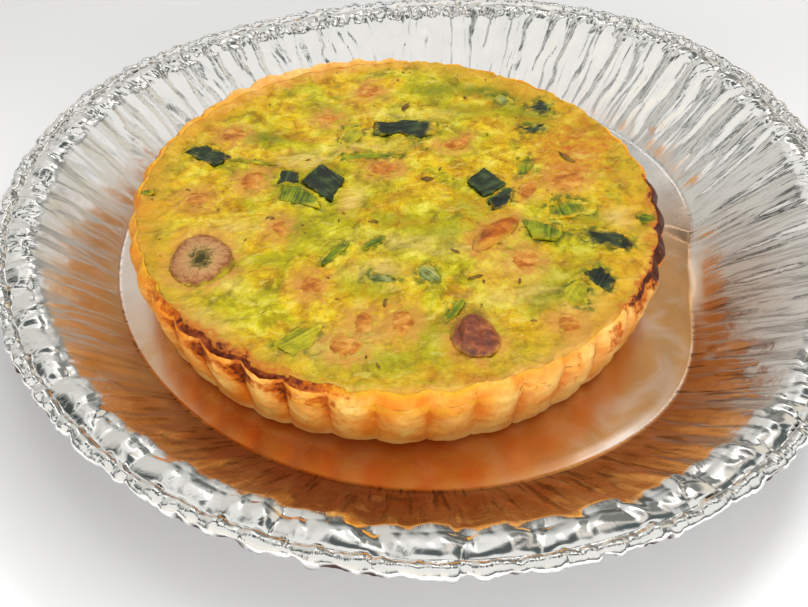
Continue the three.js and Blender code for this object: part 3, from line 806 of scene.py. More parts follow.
def crust_row(share, rounded):
    """A ring of the fluted wall, from 1 at its top to 0 at its foot: radius, height and masks."""
    below = 1 - share
    level = CRUST_FOOT + (CRUST_TOP - RIM_DROP - CRUST_FOOT) * share - rounded * smoothstep(0.7, 1, share)
    crown = crown_share(share)
    blister = 0.4 * case_wave(5, 41, level, 0.8) + 0.2 * case_wave(2, 43, level, 2.2)
    step = 0.1 * np.tanh(5 * case_wave(7, 47, level, 2.5))
    tuck = 1.2 * (1 - smoothstep(0, 0.07, share))
    hem = 0.5 * (1 - smoothstep(0.02, 0.16, share)) * smoothstep(-0.3, 0.5, case_wave(9, 49))
    fade = min(1, share * 6, below * 6)
    lifted = 1.4 * hump(case_degrees, 264, 16) * below ** 8 - 0.25 * case_wave(8, 51) * below ** 6
    run = np.clip(1.3 - below * (1.6 + 2.4 * crown), 0, 1)
    scorched = burnt_right * (1 - burnt_inside)
    masks = {
        "burn": burnt_left * run * (0.4 + 0.8 * (1 - crown)) + toasted * smoothstep(0.35, 0.95, share)
        + scorched * max(0, 1 - below * 6),
        # Painted shade: the recess mask is strongest in the grooves between the crowns.
        "recess": 1.2 * (1 - crown) ** 0.8 * bell(share - 0.62, 0.3),
        # Painted light: the foot is made pale for light thrown up by the foil; the crowns and the right front
        # are paler too.
        "pale": 0.4 * crown ** 2 * share + 0.9 * (1 - smoothstep(0.0, 0.3, share)) + 0.3 * right_front,
        "eggy": 0.7 * smoothstep(0.6, 1.0, share) * hump(case_degrees, 272, 28),
        "black": 1.1 * scorched * max(0, 1 - below * 5),
    }
    return outer_radius(share) + (blister + step) * fade - tuck + hem, level + lifted, masks


def make_pastry_case():
    """The case from its floor up the inside, over the edge, down the fluted wall and in underneath."""
    rounded = 1 - 0.75 * thick_edge - 0.7 * burnt_left
    rings = [(CASE_FOOT_INSIDE * 0.6, CASE_FLOOR, {}), (CASE_FOOT_INSIDE, CASE_FLOOR, {}),
             (CASE_FOOT_INSIDE + 2, 12, {})]
    rings += [rim_row(across, rounded) for across in RIM_ROWS]
    rings += [crust_row(share, rounded) for share in 1 - np.linspace(0.05, 1, 24) ** 1.05]
    rings += [(CASE_FOOT_INSIDE, CASE_UNDERSIDE, {}), (CRUST_FOOT_RADIUS - 30, CASE_UNDERSIDE, {})]
    rows = np.stack([case_row(radius, height) for radius, height, _ in rings])
    masks = {}
    for mask in ("burn", "recess", "pale", "eggy", "black"):
        masks[mask] = np.stack([given.get(mask, 0.0) + np.zeros(CASE_COLUMNS) for _, _, given in rings])
    start, end = (*QUICHE_CENTRE, CASE_FLOOR), (*QUICHE_CENTRE, CASE_UNDERSIDE)
    case = skin("fluted_pastry", rows, start, end, pastry_finish(), masks)
    dress(case, "pastry", "pastry_case")


# ---- The filling ----

FILLING_COLUMNS = 880
FILLING_RINGS = 106
FILLING_FLOOR = 6
FILLING_OVERLAP = 0.5  # how far the filling runs into the pastry
EGG_REACH = {"near_leaf": 1.3, "near_meat": 3.2}  # how far the egg takes a topping's colour

# Soft patches on the filling: place, half-lengths, turn and strength.
GREEN_PATCHES = (
    (-41, 25, 7, 4, 0, 1.0), (-22, 40, 9, 5, 0, 0.45), (-15, -10, 9, 5, 30, 0.4), (0, -12, 10, 4, -15, 0.55),
    (14, -17, 8, 4, 25, 0.5), (29, 54, 14, 4.5, -15, 1.0), (12, 55, 9, 4, 0, 0.8), (22, 43, 11, 5, 0, 0.6),
    (40, 42, 12, 8, -40, 0.65), (9, -54, 11, 5, 0, 0.5), (3, -63, 16, 4, 0, 0.5), (-2, -2, 8, 3, 10, 0.4),
    (-27, -17, 7, 5, -30, 0.7), (38, -40, 9, 7, 40, 0.6), (-30, -30, 12, 6, 20, 0.25),
    (48, -30, 9, 8, 0, 0.4), (-6, -40, 8, 4, 0, 0.5), (20, -8, 6, 8, 20, 0.5), (52, -8, 9, 6, 0, 0.6),
    (-30, 5, 11, 9, 0, 0.35),
)
CREAM_PATCHES = (
    (-29, 14.4, 7, 4.5, 10, 1.0), (-13, -4, 3, 6, -20, 0.8), (-5, -33, 8, 4, 0, 0.8),
    (-47, -52, 10, 4, -30, 0.7), (41, -62, 13, 4, 25, 0.9), (62, -9, 4.5, 4.5, 0, 1.0),
    (-45, -18, 12, 5, 10, 0.5), (5, -22, 16, 4, -8, 0.5), (30, -40, 12, 5, 10, 0.5), (-12, 22, 14, 4, 5, 0.4),
    (-12, -58, 12, 5, 10, 0.6), (47, -45, 8, 5, 40, 0.6), (-44, -38, 8, 3, -30, 0.6), (56, 20, 4, 3, 0, 0.7),
    (2, 40, 16, 4, 0, 0.35), (31, -29, 9, 6, 0, 0.5),
)
BROWN_PATCHES = (
    (54, 24, 16, 24, -30, 0.95), (36, 56, 16, 5, -35, 0.45), (69, -20, 4, 20, 0, 0.7),
    (55, 28, 10, 6, -45, 0.7), (63, 12, 6, 10, 10, 0.8), (59, -2, 6, 5, 0, 0.5), (60, 34, 6, 8, 50, 0.6),
    (40, -50, 17, 10, 40, 0.36), (14, -68, 12, 3, 0, 0.65), (-6, -68, 9, 2.5, 0, 0.3),
    (64, -30, 5, 9, 5, 0.45), (52, -50, 8, 7, 45, 0.35), (-28, -20, 4, 4, 0, 0.35), (66, -12, 4, 8, 0, 0.5),
    (50, 12, 7, 5, 0, 0.4), (-62, 2, 6, 4, 0, 0.3),
)
GOLDEN_ZONES = (  # angle, spread, how far inwards it reaches, strength
    (190, 34, 14, 1.0), (150, 30, 9, 0.8), (235, 26, 10, 0.9), (0, 50, 20, 0.6), (-45, 30, 16, 0.8),
    (60, 36, 12, 0.75), (105, 26, 8, 0.7), (285, 26, 12, 0.6),
)


def filling_height(x, y):
    """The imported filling's level at a place on the quiche."""
    across = np.sin(x / 7 + 1.3 * np.sin(y / 11))
    along = np.sin(y / 6 + x / 17 + 2)
    return CRUST_TOP - FILLING_DROP + FILLING_SWELL * (across + 0.8 * along)


def filling_relief(x, y):
    """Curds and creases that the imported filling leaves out."""
    points = flat_points(x, y)
    warp = np.stack([noise(points / 9, 61), noise(points / 9, 62), np.zeros(len(points))], 1)
    swells = layered(points + 6 * warp, 12, 2, seed=60) * 0.8
    curds = layered(points + 5 * warp, 5.5, 2, seed=63) * 0.45
    creases = ridged(points + 4 * warp, 8, 2, seed=66) ** 4 * -0.5
    turned = points @ np.array([[0.95, -0.31, 0], [0.31, 0.95, 0], [0, 0, 1]])
    strands = ridged((turned + 4 * warp) * np.array([1, 2.8, 1]), 6, 2, seed=68) ** 2 * 0.35
    return (swells + curds + creases + strands).reshape(np.shape(x))


def patch_mask(x, y, patches):
    """The strongest of some soft patches at each place."""
    total = np.zeros(np.shape(x))
    for cx, cy, long, wide, turn, strength in patches:
        c, s = cos_sin(turn)
        u = ((x - cx) * c + (y - cy) * s) / long
        v = ((y - cy) * c - (x - cx) * s) / wide
        total = np.maximum(total, strength * np.exp(-(u * u + v * v) ** 1.4))
    return total


def outline_of(node, count, soften=0):
    """A topping's outline on the quiche, evenly spaced and anticlockwise, and its middle."""
    plan = np.unique(np.round(node_points(node)[:, :2] - QUICHE_CENTRE, 2), axis=0)
    middle = plan.mean(0)
    away = plan - middle
    radius = np.hypot(away[:, 0], away[:, 1])
    degrees = np.degrees(np.arctan2(away[:, 1], away[:, 0]))
    corners = []
    for angle in np.unique(np.round(degrees[radius > 0.5])):
        near = np.abs(signed(degrees - angle)) < 1.2
        corners.append(plan[near][np.argmax(radius[near])])
    corners = np.unique(np.array(corners), axis=0)
    corners = corners[np.argsort(np.arctan2(*(corners - middle).T[::-1]))]
    return even_loop(corners, count, soften), middle


def even_loop(corners, count, soften=0):
    """A closed outline with evenly spaced points; soften rounds its corners."""
    closed = np.concatenate([corners, corners[:1]])
    length = np.concatenate([[0], np.cumsum(np.hypot(*np.diff(closed, axis=0).T))])
    at = np.linspace(0, length[-1], count, endpoint=False)
    loop = np.stack([np.interp(at, length, closed[:, axis]) for axis in (0, 1)], 1)
    for _ in range(soften):
        loop = (np.roll(loop, 1, 0) + 2 * loop + np.roll(loop, -1, 0)) / 4
    return loop


def depth_inside(x, y, loop):
    """Distance from each place to an outline: above 0 inside it, below 0 outside."""
    nearest = np.full(np.shape(x), 1e9)
    inside = np.zeros(np.shape(x), bool)
    for (ax, ay), (bx, by) in zip(loop, np.roll(loop, -1, 0)):
        length = (bx - ax) ** 2 + (by - ay) ** 2
        share = np.clip(((x - ax) * (bx - ax) + (y - ay) * (by - ay)) / length, 0, 1)
        nearest = np.minimum(nearest, np.hypot(x - ax - share * (bx - ax), y - ay - share * (by - ay)))
        if ay != by:
            crosses = (ay > y) != (by > y)
            inside ^= crosses & (x < (bx - ax) * (y - ay) / (by - ay) + ax)
    return np.where(inside, nearest, -nearest)


def fade_in(from_edge, ragged, reach, full, fray):
    """1 close to the filling's edge, 0 beyond a reach that a ragged pattern pulls in and out."""
    return smoothstep(reach, full, from_edge + fray * ragged)


def edge_masks(degrees, from_edge, ragged):
    """How golden, crusty and browned the filling is along its edge."""
    golden = np.zeros(np.shape(from_edge))
    for at, spread, reach, strength in GOLDEN_ZONES:
        golden = np.maximum(golden, strength * hump(degrees, at, spread) * smoothstep(reach, 0, from_edge))
    crusty_back = hump(degrees, 120, 36) * fade_in(from_edge, ragged, 5.5, 1.5, 2.4)
    crusty_front = 0.8 * hump(degrees, 295, 42) * fade_in(from_edge, ragged, 3.5, 0.5, 1.8)
    overflow = 1.25 * hump(degrees, 238, 24) * fade_in(from_edge, ragged, 5.0, 0.3, 1.6)
    scorched = np.where(degrees > 180, smoothstep(314, 324, degrees), smoothstep(14, 2, degrees))
    scorched_edge = 1.3 * scorched * fade_in(from_edge, ragged, 3.4, 0.3, 1.8)
    return golden, np.maximum(crusty_back, crusty_front), np.maximum(overflow, scorched_edge)


def seat_toppings(toppings, x, y, height, ragged):
    """Lowers the filling under each topping and laps it up round it; returns what is near a topping."""
    nearness = {kind: np.zeros(np.shape(x)) for kind in EGG_REACH}
    for kind, loop, depth, lap, cover in toppings:
        near = np.ones(np.shape(x), bool)
        for place, side in ((x, loop[:, 0]), (y, loop[:, 1])):
            near &= np.abs(place - side.mean()) < np.ptp(side) / 2 + 5
        inside = depth_inside(x[near], y[near], loop)
        under = smoothstep(0.0, 1.2, inside + (0.4 + 1.2 * max(cover, 0)) * ragged[near] - cover)
        height[near] += lap * bell(np.minimum(inside, 0), 1.6) - (depth + lap) * under
        close = bell(np.minimum(inside + 0.5 * ragged[near], 0), EGG_REACH[kind])
        nearness[kind][near] = np.maximum(nearness[kind][near], close)
    return nearness


def make_filling(toppings):
    """The filling; each topping gives its kind, outline, depth, lap and how far egg covers it."""
    degrees = np.arange(FILLING_COLUMNS) * 360 / FILLING_COLUMNS
    turn = np.radians(degrees)
    edge = np.interp(degrees, rim_degrees, rim_radius, period=360) + FILLING_OVERLAP
    share = (np.arange(1, FILLING_RINGS + 1) / FILLING_RINGS) ** 0.9
    radius = share[:, None] * edge
    x, y = radius * np.cos(turn), radius * np.sin(turn)
    from_edge = edge - radius
    height = filling_height(x, y) + filling_relief(x, y) * smoothstep(-1.5, 3, from_edge)
    height += 0.75 * smoothstep(4, 0.6, from_edge) - 1.2 * smoothstep(0.4, 0, from_edge)
    ragged = layered(flat_points(x, y), 2.2, 3, seed=71).reshape(x.shape)
    nearness = seat_toppings(toppings, x, y, height, ragged)
    golden, crusty, edge_brown = edge_masks(degrees, from_edge, ragged)
    green, cream, brown = (patch_mask(x, y, p) for p in (GREEN_PATCHES, CREAM_PATCHES, BROWN_PATCHES))
    rows = [np.stack([x + QUICHE_CENTRE[0], y + QUICHE_CENTRE[1], height], -1)]
    for inset, level in ((0.6, 20.5), (4.5, FILLING_FLOOR)):
        inner = edge - inset
        side = [inner * np.cos(turn) + QUICHE_CENTRE[0], inner * np.sin(turn) + QUICHE_CENTRE[1]]
        rows.append(np.stack([*side, np.full(FILLING_COLUMNS, level)], -1)[None])
    masks = {"green": green, "cream": cream, "brown": np.maximum(brown, edge_brown), "golden": golden,
             "crusty": crusty, **nearness}
    for name, values in masks.items():
        masks[name] = np.concatenate([values, values[-1:], values[-1:]])
    start = (*QUICHE_CENTRE, float(height[0].mean()))
    end = (*QUICHE_CENTRE, FILLING_FLOOR)
    filling = skin("egg_filling", np.concatenate(rows), start, end, filling_finish(), masks)
    dress(filling, "filling", "filling")


# ---- Toppings ----

# Rings of a topping's top, as shares of the way from its middle to its outline.
TOP_SHARES = (0.1, 0.22, 0.34, 0.46, 0.58, 0.7, 0.8, 0.88, 0.94, 0.98)
LEAF_COLUMNS = 88
MEAT_COLUMNS = 96
LEAF_CURL = 0.5


def lay_rings(loop, middle, shares, height_at):
    """Rings of a topping from its middle out to its outline, with a height for each place."""
    plan = middle + np.asarray(shares)[:, None, None] * (loop - middle)
    heights = height_at(plan[..., 0], plan[..., 1], np.asarray(shares)[:, None] + np.zeros(len(loop)))
    return np.concatenate([plan + QUICHE_CENTRE, heights[..., None]], -1)


def height_over(middle, height_at):
    """A topping's height over its middle."""
    return float(height_at(np.array([middle[0]]), np.array([middle[1]]), np.array([0.0]))[0])


def on_quiche(middle, height):
    return np.array([*(middle + QUICHE_CENTRE), height])


def leaf_points(loop, middle, turn, seed, rise, thickness, curl):
    """A thin ribbed leaf's skin: rows, end points, and how far each point is across it and out from it."""
    c, s = cos_sin(turn)
    frayed = loop + 0.22 * np.stack([layered(flat_points(*loop.T, seed), 1.6, 2, seed),
                                     layered(flat_points(*loop.T, seed), 1.6, 2, seed + 9)], 1)

    def upper(x, y, share):
        points = flat_points(x, y, seed * 3.7)
        across = (y * c - x * s).ravel()
        ribs = 0.07 * np.sin(across * 5.2 + 1.5 * noise(points / 6, seed))
        warp = 0.3 * layered(points, 6, 2, seed) + ribs
        lift = curl * np.clip(noise(points / 5, seed + 4), 0, 1) * share.ravel() ** 3
        return filling_height(x, y) + rise + (warp + lift).reshape(x.shape)

    def lowered(by):
        return lambda x, y, share: upper(x, y, share) - by

    layers = ((TOP_SHARES, 0.0), ((1.0,), thickness * 0.35), ((0.98, 0.7, 0.3), thickness))
    rows = np.concatenate([lay_rings(frayed, middle, shares, lowered(by)) for shares, by in layers])
    share = np.concatenate([shares for shares, by in layers])[:, None] + np.zeros(len(loop))
    across = (rows[..., 1] - QUICHE_CENTRE[1]) * c - (rows[..., 0] - QUICHE_CENTRE[0]) * s
    height = height_over(middle, upper)
    return rows, on_quiche(middle, height), on_quiche(middle, height - thickness), across, share


# Each leek leaf: its finish, the direction of its ribs, how high it lies and how far egg covers it.
LEAVES = {
    1: ("leek_dark", 85, 0.6, 0.05), 2: ("leek_dark", 128, 0.8, 0.0), 3: ("leek_green", 80, 0.5, 0.1),
    4: ("leek_dark", 8, 0.5, 0.08), 5: ("leek_dark", 40, 0.8, 0.0), 6: ("leek_dark", 50, 0.5, 0.12),
    7: ("leek_dark", -25, 0.4, 0.08), 8: ("leek_green", 80, 0.3, 0.16), 9: ("leek_dark", -15, 0.4, 0.2),
    10: ("leek_dark", 60, 0.5, 0.12), 11: ("leek_olive", 60, 0.1, 0.25), 12: ("leek_dark", 20, 0.1, 0.26),
    13: ("leek_dark", 5, 0.2, 0.22), 14: ("leek_green", 100, 0.0, 0.28), 15: ("leek_green", 80, 0.0, 0.28),
    16: ("leek_bloom", -30, 0.1, 0.25), 17: ("leek_green", 0, 0.2, 0.18), 18: ("leek_olive", 40, 0.4, 0.15),
    19: ("leek_bloom", 20, 0.3, 0.17), 20: ("leek_bloom", -50, 0.3, 0.17), 21: ("leek_olive", 70, 0.1, 0.25),
}
# Finishes that are a second look of a slot.
SHARED_SLOTS = {"leek_bloom": "leek_green", "ham_strip": "ham"}


# The side of a leaf or a meat that lies deeper in the egg, as a direction.
DEEPER_SIDES = {
    "leek_leaf_03": -60, "leek_leaf_04": 0, "leek_leaf_06": -30, "leek_leaf_08": 20, "leek_leaf_09": 180,
    "leek_leaf_11": 200, "leek_leaf_14": 60, "leek_leaf_18": 30, "leek_leaf_19": 150, "leek_leaf_20": 110,
    "mushroom_slice": -35, "ham_strip": 215, "sausage_chunk": 90,
}


def sunken(node, rows, middle, share, amount):
    """The share from a topping's middle to its edge, more on the side where egg laps over it."""
    if node not in DEEPER_SIDES:
        return share
    c, s = cos_sin(DEEPER_SIDES[node])
    plan = rows[..., :2] - QUICHE_CENTRE - middle
    along = plan[..., 0] * c + plan[..., 1] * s
    return share + amount * np.clip(along / np.abs(along).max(), -0.5, 1) ** 3


def make_leaves(finishes):
    loops = []
    for number, (look, turn, rise, film) in LEAVES.items():
        node = f"leek_leaf_{number:02d}"
        loop, middle = outline_of(node, LEAF_COLUMNS)
        rows, start, end, across, share = leaf_points(
            loop, middle, turn, 100 + number, rise, LEAF_THICKNESS, LEAF_CURL)
        masks = {"across": across, "edge": sunken(node, rows, middle, share, 1.1), "film": film}
        piece = skin(f"leek_{number:02d}", rows, start, end, finishes[look], masks)
        dress(piece, SHARED_SLOTS.get(look, look), node)
        loops.append(("near_leaf", loop, 1.2 - rise * 0.3, 0.3 + 0.3 * film, 2.8 * film - 0.5))
    return loops


def meat_rows(loop, middle, rise, seed, rough, peak, sunk):
    """A soft lump of meat's skin, domed over the filling with an off-centre peak and its edge sunk in."""
    def upper(x, y, share):
        points = flat_points(x, y, seed * 2.3)
        from_peak = np.hypot(x - middle[0] + 1, y - middle[1] - 2.5)
        dome = (1 + sunk) * (1 - share ** 2.6) - sunk + peak * np.clip(1 - from_peak / 6, 0, 1)
        lumps = rough * layered(points, 4, 2, seed) + rough * 0.5 * layered(points, 1.4, 2, seed + 5)
        return filling_height(x, y) + rise * dome + lumps.reshape(x.shape) * (1.1 - share ** 4)

    def lower(x, y, share):
        return filling_height(x, y) - MEAT_SINK * (1.2 - share) / 0.4

    shares = (*TOP_SHARES, 1.0)
    top, under = lay_rings(loop, middle, shares, upper), lay_rings(loop, middle, (0.97, 0.8), lower)
    start = on_quiche(middle, height_over(middle, upper))
    end = on_quiche(middle, CRUST_TOP - FILLING_DROP - MEAT_SINK)
    share = np.array([*shares, 1.0, 1.0])[:, None] + np.zeros(len(loop))
    return np.concatenate([top, under]), start, end, share


# Meats by node: finish, rise over the filling, roughness and peak.
MEATS = {
    "mushroom_slice": ("mushroom", 1.1, 0.16, 0.0), "sausage_chunk": ("sausage", 2.4, 0.85, 1.1),
    "ham_strip": ("ham_strip", 1.9, 0.22, 0.0),
}
HAM_RISES = (0.5, 0.7, 0.8, 0.5, 0.6, 0.5, 0.6, 0.6, 0.6, 0.5, 0.6, 0.5, 0.5, 0.5, 0.4, 0.5)
# Outlines softened, how deep the edge is sunk and how far egg covers it: ham cubes and the rest.
CUBE_SETTING = (1, 0.2, 0.9)
WHOLE_SETTING = (6, -0.12, 0.0)


def make_meats(finishes):
    loops = []
    meats = dict(MEATS)
    for number, rise in enumerate(HAM_RISES, 1):
        meats[f"ham_piece_{number:02d}"] = ("ham", rise, 0.4, 0.0)
    for seed, (node, (look, rise, rough, peak)) in enumerate(meats.items(), 200):
        soften, sunk, cover = CUBE_SETTING if look == "ham" else WHOLE_SETTING
        loop, middle = outline_of(node, MEAT_COLUMNS, soften)
        rows, start, end, share = meat_rows(loop, middle, rise, seed, rough, peak, sunk)
        masks = {"edge": sunken(node, rows, middle, share, 0.45)}
        piece = skin(node.replace("piece", "bit") + "_baked", rows, start, end, finishes[look], masks)
        dress(piece, SHARED_SLOTS.get(look, look), node)
        loops.append(("near_meat", loop, 1.6, 0.1, cover))
    return loops


# ---- Thin strips, slivers and specks ----

# Thin strips of leek: two ends, width and the finish.
SLIVERS = (
    ((-19.1, -31.7), (-12.7, -21.7), 2.2, "leek_green"), ((-9.6, -25.2), (-2.9, -19.7), 2.2, "leek_green"),
    ((12.6, -50.6), (17.4, -42.8), 2.2, "leek_green"), ((-49.8, 12.8), (-36.4, 10.4), 1.0, "leek_olive"),
    ((66.8, -8.6), (72.4, -10.2), 4.5, "leek_green"), ((-72.6, -4.6), (-69.4, -3.2), 2.6, "leek_green"),
)
SLIVER_COLUMNS = 36
SLIVER_LIE = (0.4, 0.7, 0.2)  # rise, thickness and curl
SPECK_CORNERS = 7


def sliver_loop(start, end, width):
    """The outline of a thin strip, narrowed towards both ends."""
    start, end = np.array(start), np.array(end)
    along = (end - start) / np.hypot(*(end - start))
    side = np.array([-along[1], along[0]]) * width / 2
    share = np.linspace(0, 1, 12)
    fat = np.sin(np.pi * np.clip(share, 0.04, 0.96)) ** 0.5
    line = start + share[:, None] * (end - start)
    right = line - fat[:, None] * side
    left = (line + fat[:, None] * side)[::-1]
    return even_loop(np.concatenate([right, left]), SLIVER_COLUMNS)


def make_slivers(finishes):
    loops = []
    for slot in ("leek_green", "leek_olive"):
        parts = []
        for seed, (start, end, width, finish) in enumerate(SLIVERS, 300):
            if finish != slot:
                continue
            loop = sliver_loop(start, end, width)
            turn = math.degrees(math.atan2(end[1] - start[1], end[0] - start[0]))
            rows, head, tail, across, share = leaf_points(loop, loop.mean(0), turn, seed, *SLIVER_LIE)
            parts.append((rows, head, tail, {"across": across, "edge": share, "film": 0.2}))
            loops.append(("near_leaf", loop, 0.6, 0.15, -0.3))
        dress(join_skins(f"{slot}_slivers", parts, finishes[slot]), slot)
    return loops


def make_specks(name, slot, material, places, sizes, random, stretch):
    """Small flat herb specks lying on the filling, as one mesh."""
    parts = []
    for (x, y), size in zip(places, sizes):
        turn = random.uniform(0, np.pi)
        ring = np.arange(SPECK_CORNERS) * 2 * np.pi / SPECK_CORNERS
        reach = size / 2 * random.uniform(0.6, 1.2, SPECK_CORNERS)
        u, v = reach * np.cos(ring) * stretch, reach * np.sin(ring)
        px = x + u * math.cos(turn) - v * math.sin(turn)
        py = y + u * math.sin(turn) + v * math.cos(turn)
        height = filling_height(px, py) + filling_relief(px, py)
        plan = np.stack([px, py], 1) + QUICHE_CENTRE
        rows = np.stack([np.column_stack([plan, height + 0.06 + 0.12 * size]),
                         np.column_stack([plan, height - 0.3])])
        top, bottom = height.mean() + 0.08 + 0.22 * size, height.mean() - 0.3
        middle = np.array([x, y])
        parts.append((rows, on_quiche(middle, top), on_quiche(middle, bottom), {}))
    dress(join_skins(name, parts, material), slot)


# The herb flakes that can be told apart: place and size.
BIG_SPECKS = (
    (15.8, -24.9, 2.6), (20.4, -34.6, 3.0), (31.9, -35.3, 2.0), (-3.2, -64.6, 1.6), (-2.3, -44.7, 2.6),
    (21.7, -44.2, 1.5), (34.2, -49.2, 1.4), (-16, -13.8, 1.2), (-6.7, -13, 2.4), (1.5, 44.7, 4.0),
    (50.2, 17.7, 5.0), (8.5, 6.1, 3.4), (-60.4, -0.9, 1.8), (-27.2, 13.8, 1.6), (-37.2, 10.6, 2.0),
    (-34.9, -13.7, 2.6), (-31.5, -19.4, 2.0), (-12.2, 33.2, 1.6), (12.1, 11.6, 1.8), (20.9, 50.5, 2.6),
    (-43, 4, 1.2), (27, 30, 1.3), (-50, -10, 1.4), (32, -14, 1.2),
)

PEPPER_COUNT = 80
PEPPER_REACH = 70


def make_all_specks(finishes):
    random = np.random.default_rng(5)
    big = np.array(BIG_SPECKS)
    make_specks("herb_flakes", "leek_dark", finishes["herb"], big[:, :2], big[:, 2] * 0.5, random, 2.4)
    radius = PEPPER_REACH * np.sqrt(random.uniform(0, 1, PEPPER_COUNT))
    turn = random.uniform(0, 2 * np.pi, PEPPER_COUNT)
    places = np.stack([radius * np.cos(turn), radius * np.sin(turn)], 1)
    sizes = 0.3 + 0.6 * random.uniform(0, 1, PEPPER_COUNT) ** 2
    make_specks("pepper_specks", "leek_dark", finishes["herb"], places, sizes, random, 1.5)


# ---- Stage, lights and camera ----

TABLE_HALF = 3000
TABLE_DROP = 0.1
# Lamps: name, place, what it looks at, width, depth, power.
LAMPS = (
    ("far_right_key", (430, 700, 780), (0, -10, 0), 340, 300, 7.3),
    ("overhead", (-60, 120, 760), (0, 0, 0), 140, 140, 0.35),
    ("front_fill", (60, -440, 135), (0, -80, 10), 420, 130, 1.25),
)
SKY_STRENGTH = 0.78
# Room light by height: bright overhead, dim low down.
SKY_LEVELS = (
    (0.0, (0.3, 0.3, 0.3)), (0.12, (0.1, 0.11, 0.105)), (0.28, (0.16, 0.17, 0.16)),
    (0.44, (0.64, 0.64, 0.63)), (0.62, (1.12, 1.11, 1.08)), (1.0, (1.12, 1.11, 1.09)),
)
# Lighter and darker parts of the room: direction, where each starts and is full (cosines), colour.
SKY_LOBES = (
    ((-0.45, -0.85, 0.26), 0.7, 0.92, (1.25, 1.2, 1.1)),
    ((-0.62, 0.42, 0.62), 0.91, 0.975, (0.06, 0.075, 0.07)),
    ((-0.55, 0.75, 0.25), 0.8, 0.93, (0.86, 0.85, 0.8)),
    ((0.6, 0.74, 0.28), 0.95, 0.985, (1.0, 0.92, 0.78)),
    ((0.34, 0.64, 0.69), 0.955, 0.985, (0.86, 0.8, 0.74)),
    ((0.15, 0.735, 0.66), 0.984, 0.994, (2.6, 2.55, 2.5)),
    ((0.29, 0.79, 0.54), 0.988, 0.996, (0.34, 0.38, 0.35)),
    ((0.46, 0.42, 0.78), 0.97, 0.99, (0.1, 0.13, 0.13)),
    ((0.28, 0.81, 0.515), 0.97, 0.99, (0.26, 0.27, 0.25)),
    ((0.01, 0.37, 0.93), 0.965, 0.99, (0.1, 0.12, 0.12)),
    ((0.24, 0.53, 0.82), 0.9914, 0.9976, (1.05, 0.98, 0.9)),
)
CAMERA_PLACE = (-5.2, -189.7, 165.3)
CAMERA_DIP = 45.95
CAMERA_ROLL = 1.41
CAMERA_LENS = 35.69
CAMERA_SENSOR = 36
CAMERA_NEAREST = 10


def make_floor():
    corners = [(-1, -1, 0), (1, -1, 0), (1, 1, 0), (-1, 1, 0)]
    f = Finish("pale_table", Roughness=0.6)
    forward, away = f.axis("Y"), f.vector("LENGTH", {0: f.place}, "Value")
    # Painted shadow: darker grey close to the pan's front half, where its shadow falls on the table.
    painted_pan_shadow = f.math("MULTIPLY", f.spread(away, 0.15, 0.116), f.spread(forward, 0.06, -0.06))
    # Painted shade: the table greyer towards the back, for the light falling off.
    shaded_towards_back = f.mix(f.spread(forward, -0.12, 0.16), (252, 252, 253), (210, 210, 210))
    f.set(Base_Color=f.mix(painted_pan_shadow, shaded_towards_back, (208, 208, 210)))
    points = np.array(corners) * TABLE_HALF - (0, 0, TABLE_DROP)
    floor = add_mesh("table", points, [[0, 1, 2, 3]], f.material)


def put_in_scene(name, data, axes, place):
    """A lamp or camera whose own right, up and back are three axes, at a place in millimetres."""
    item = bpy.data.objects.new(name, data)
    bpy.context.scene.collection.objects.link(item)
    turn = Matrix(axes).transposed().to_4x4()
    turn.translation = np.array(place) * MM
    item.matrix_world = turn
    return item


def add_lamp(name, place, target, width, depth, power):
    """A soft panel that looks at a target and isn't mirrored in what it lights."""
    light = bpy.data.lights.new(name, "AREA")
    light.shape = "RECTANGLE"
    light.size = width * MM
    light.size_y = depth * MM
    light.energy = power
    back = np.array(place, float) - np.array(target, float)
    back /= np.linalg.norm(back)
    right = np.cross((0, 0, 1), back)
    right /= np.linalg.norm(right)
    lamp = put_in_scene(name, light, (right, np.cross(back, right), back), place)
    lamp.visible_glossy = False


def make_sky():
    """Soft room light: bright overhead, dim low down, warm towards the far right."""
    world = bpy.data.worlds.new("soft_room")
    bpy.context.scene.world = world
    world.use_nodes = True
    sky = Nodes(world.node_tree, "Generated", bright)
    level = sky.ramp(sky.spread(sky.axis("Z"), -0.1, 1.0, kind="LINEAR"), SKY_LEVELS)
    for direction, low, high, colour in SKY_LOBES:
        aim = np.array(direction) / np.linalg.norm(direction)
        nearness = sky.vector("DOT_PRODUCT", {0: sky.place, 1: aim}, "Value")
        level = sky.mix(sky.spread(nearness, low, high, kind="LINEAR"), level, colour)
    background = world.node_tree.nodes["Background"]
    sky.feed(background, "Color", level)
    sky.feed(background, "Strength", SKY_STRENGTH)


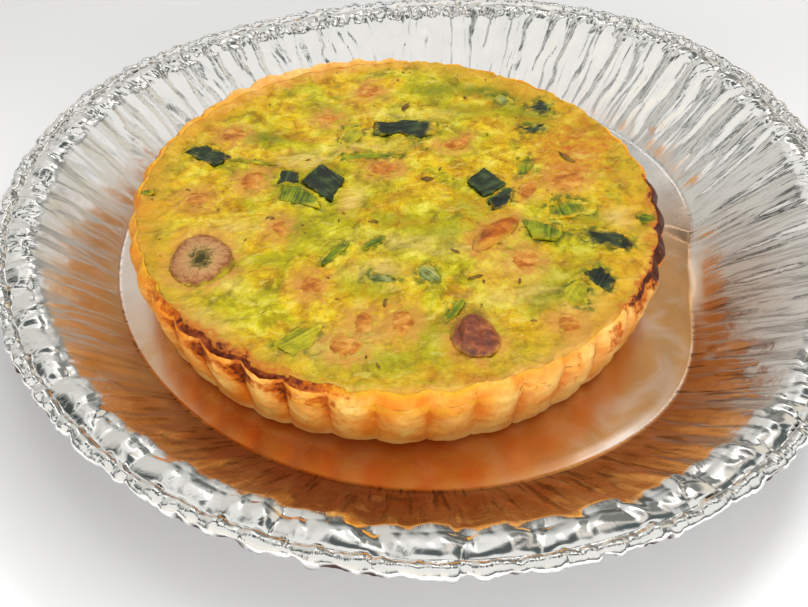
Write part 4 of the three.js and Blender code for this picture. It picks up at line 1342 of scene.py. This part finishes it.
def make_camera():
    """The camera faces away from the viewer, dips, and rolls a little."""
    (dip_cos, dip_sin), (roll_cos, roll_sin) = cos_sin(CAMERA_DIP), cos_sin(CAMERA_ROLL)
    right, up = np.array([1.0, 0, 0]), np.array([0, dip_sin, dip_cos])
    back = np.array([0, -dip_cos, dip_sin])
    lens = bpy.data.cameras.new("camera")
    lens.lens = CAMERA_LENS
    lens.sensor_width = CAMERA_SENSOR
    lens.sensor_fit = "HORIZONTAL"
    lens.clip_start = CAMERA_NEAREST * MM
    axes = (right * roll_cos + up * roll_sin, up * roll_cos - right * roll_sin, back)
    bpy.context.scene.camera = put_in_scene("camera", lens, axes, CAMERA_PLACE)


def make_finishes():
    """The toppings' finishes by name; a leaf's and a meat's tones are dark, middle and light."""
    middle = outline_of("mushroom_slice", MEAT_COLUMNS)[1] + QUICHE_CENTRE
    return {
        "leek_dark": leaf_finish("leek_dark_green", ((8, 15, 6), (25, 38, 16), (64, 80, 44)), 0.26),
        "leek_green": leaf_finish("leek_mid_green", ((58, 72, 2), (102, 118, 4), (152, 156, 22)), 0.34),
        "leek_bloom": leaf_finish("leek_grey_bloom", ((64, 80, 22), (124, 134, 66), (176, 178, 106)), 0.34),
        "leek_olive": leaf_finish("leek_olive_green", ((108, 104, 2), (144, 140, 8), (182, 172, 34)), 0.34),
        "ham": meat_finish("ham_cubes", ((158, 88, 22), (194, 124, 40), (218, 162, 76)), (1.18, 1.6), 2.4),
        "ham_strip": meat_finish("ham_rind", ((138, 62, 4), (176, 92, 10), (206, 134, 46)), (1.15, 1.6),
                                 gloss=0.4),
        "mushroom": mushroom_finish(middle),
        "sausage": meat_finish("sausage_brown", ((86, 34, 12), (124, 56, 22), (170, 94, 50)), (1.25, 1.65),
                               2.3, 0.8),
        "herb": herb_finish(),
    }


def main():
    make_camera()
    make_sky()
    make_floor()
    for lamp in LAMPS:
        add_lamp(*lamp)
    scene = bpy.context.scene
    scene.view_settings.view_transform = "Standard"
    scene.cycles.use_denoising = True
    finishes = make_finishes()
    make_foil_pan()
    make_pastry_case()
    toppings = make_leaves(finishes) + make_meats(finishes) + make_slivers(finishes)
    make_filling(toppings)
    make_all_specks(finishes)


main()
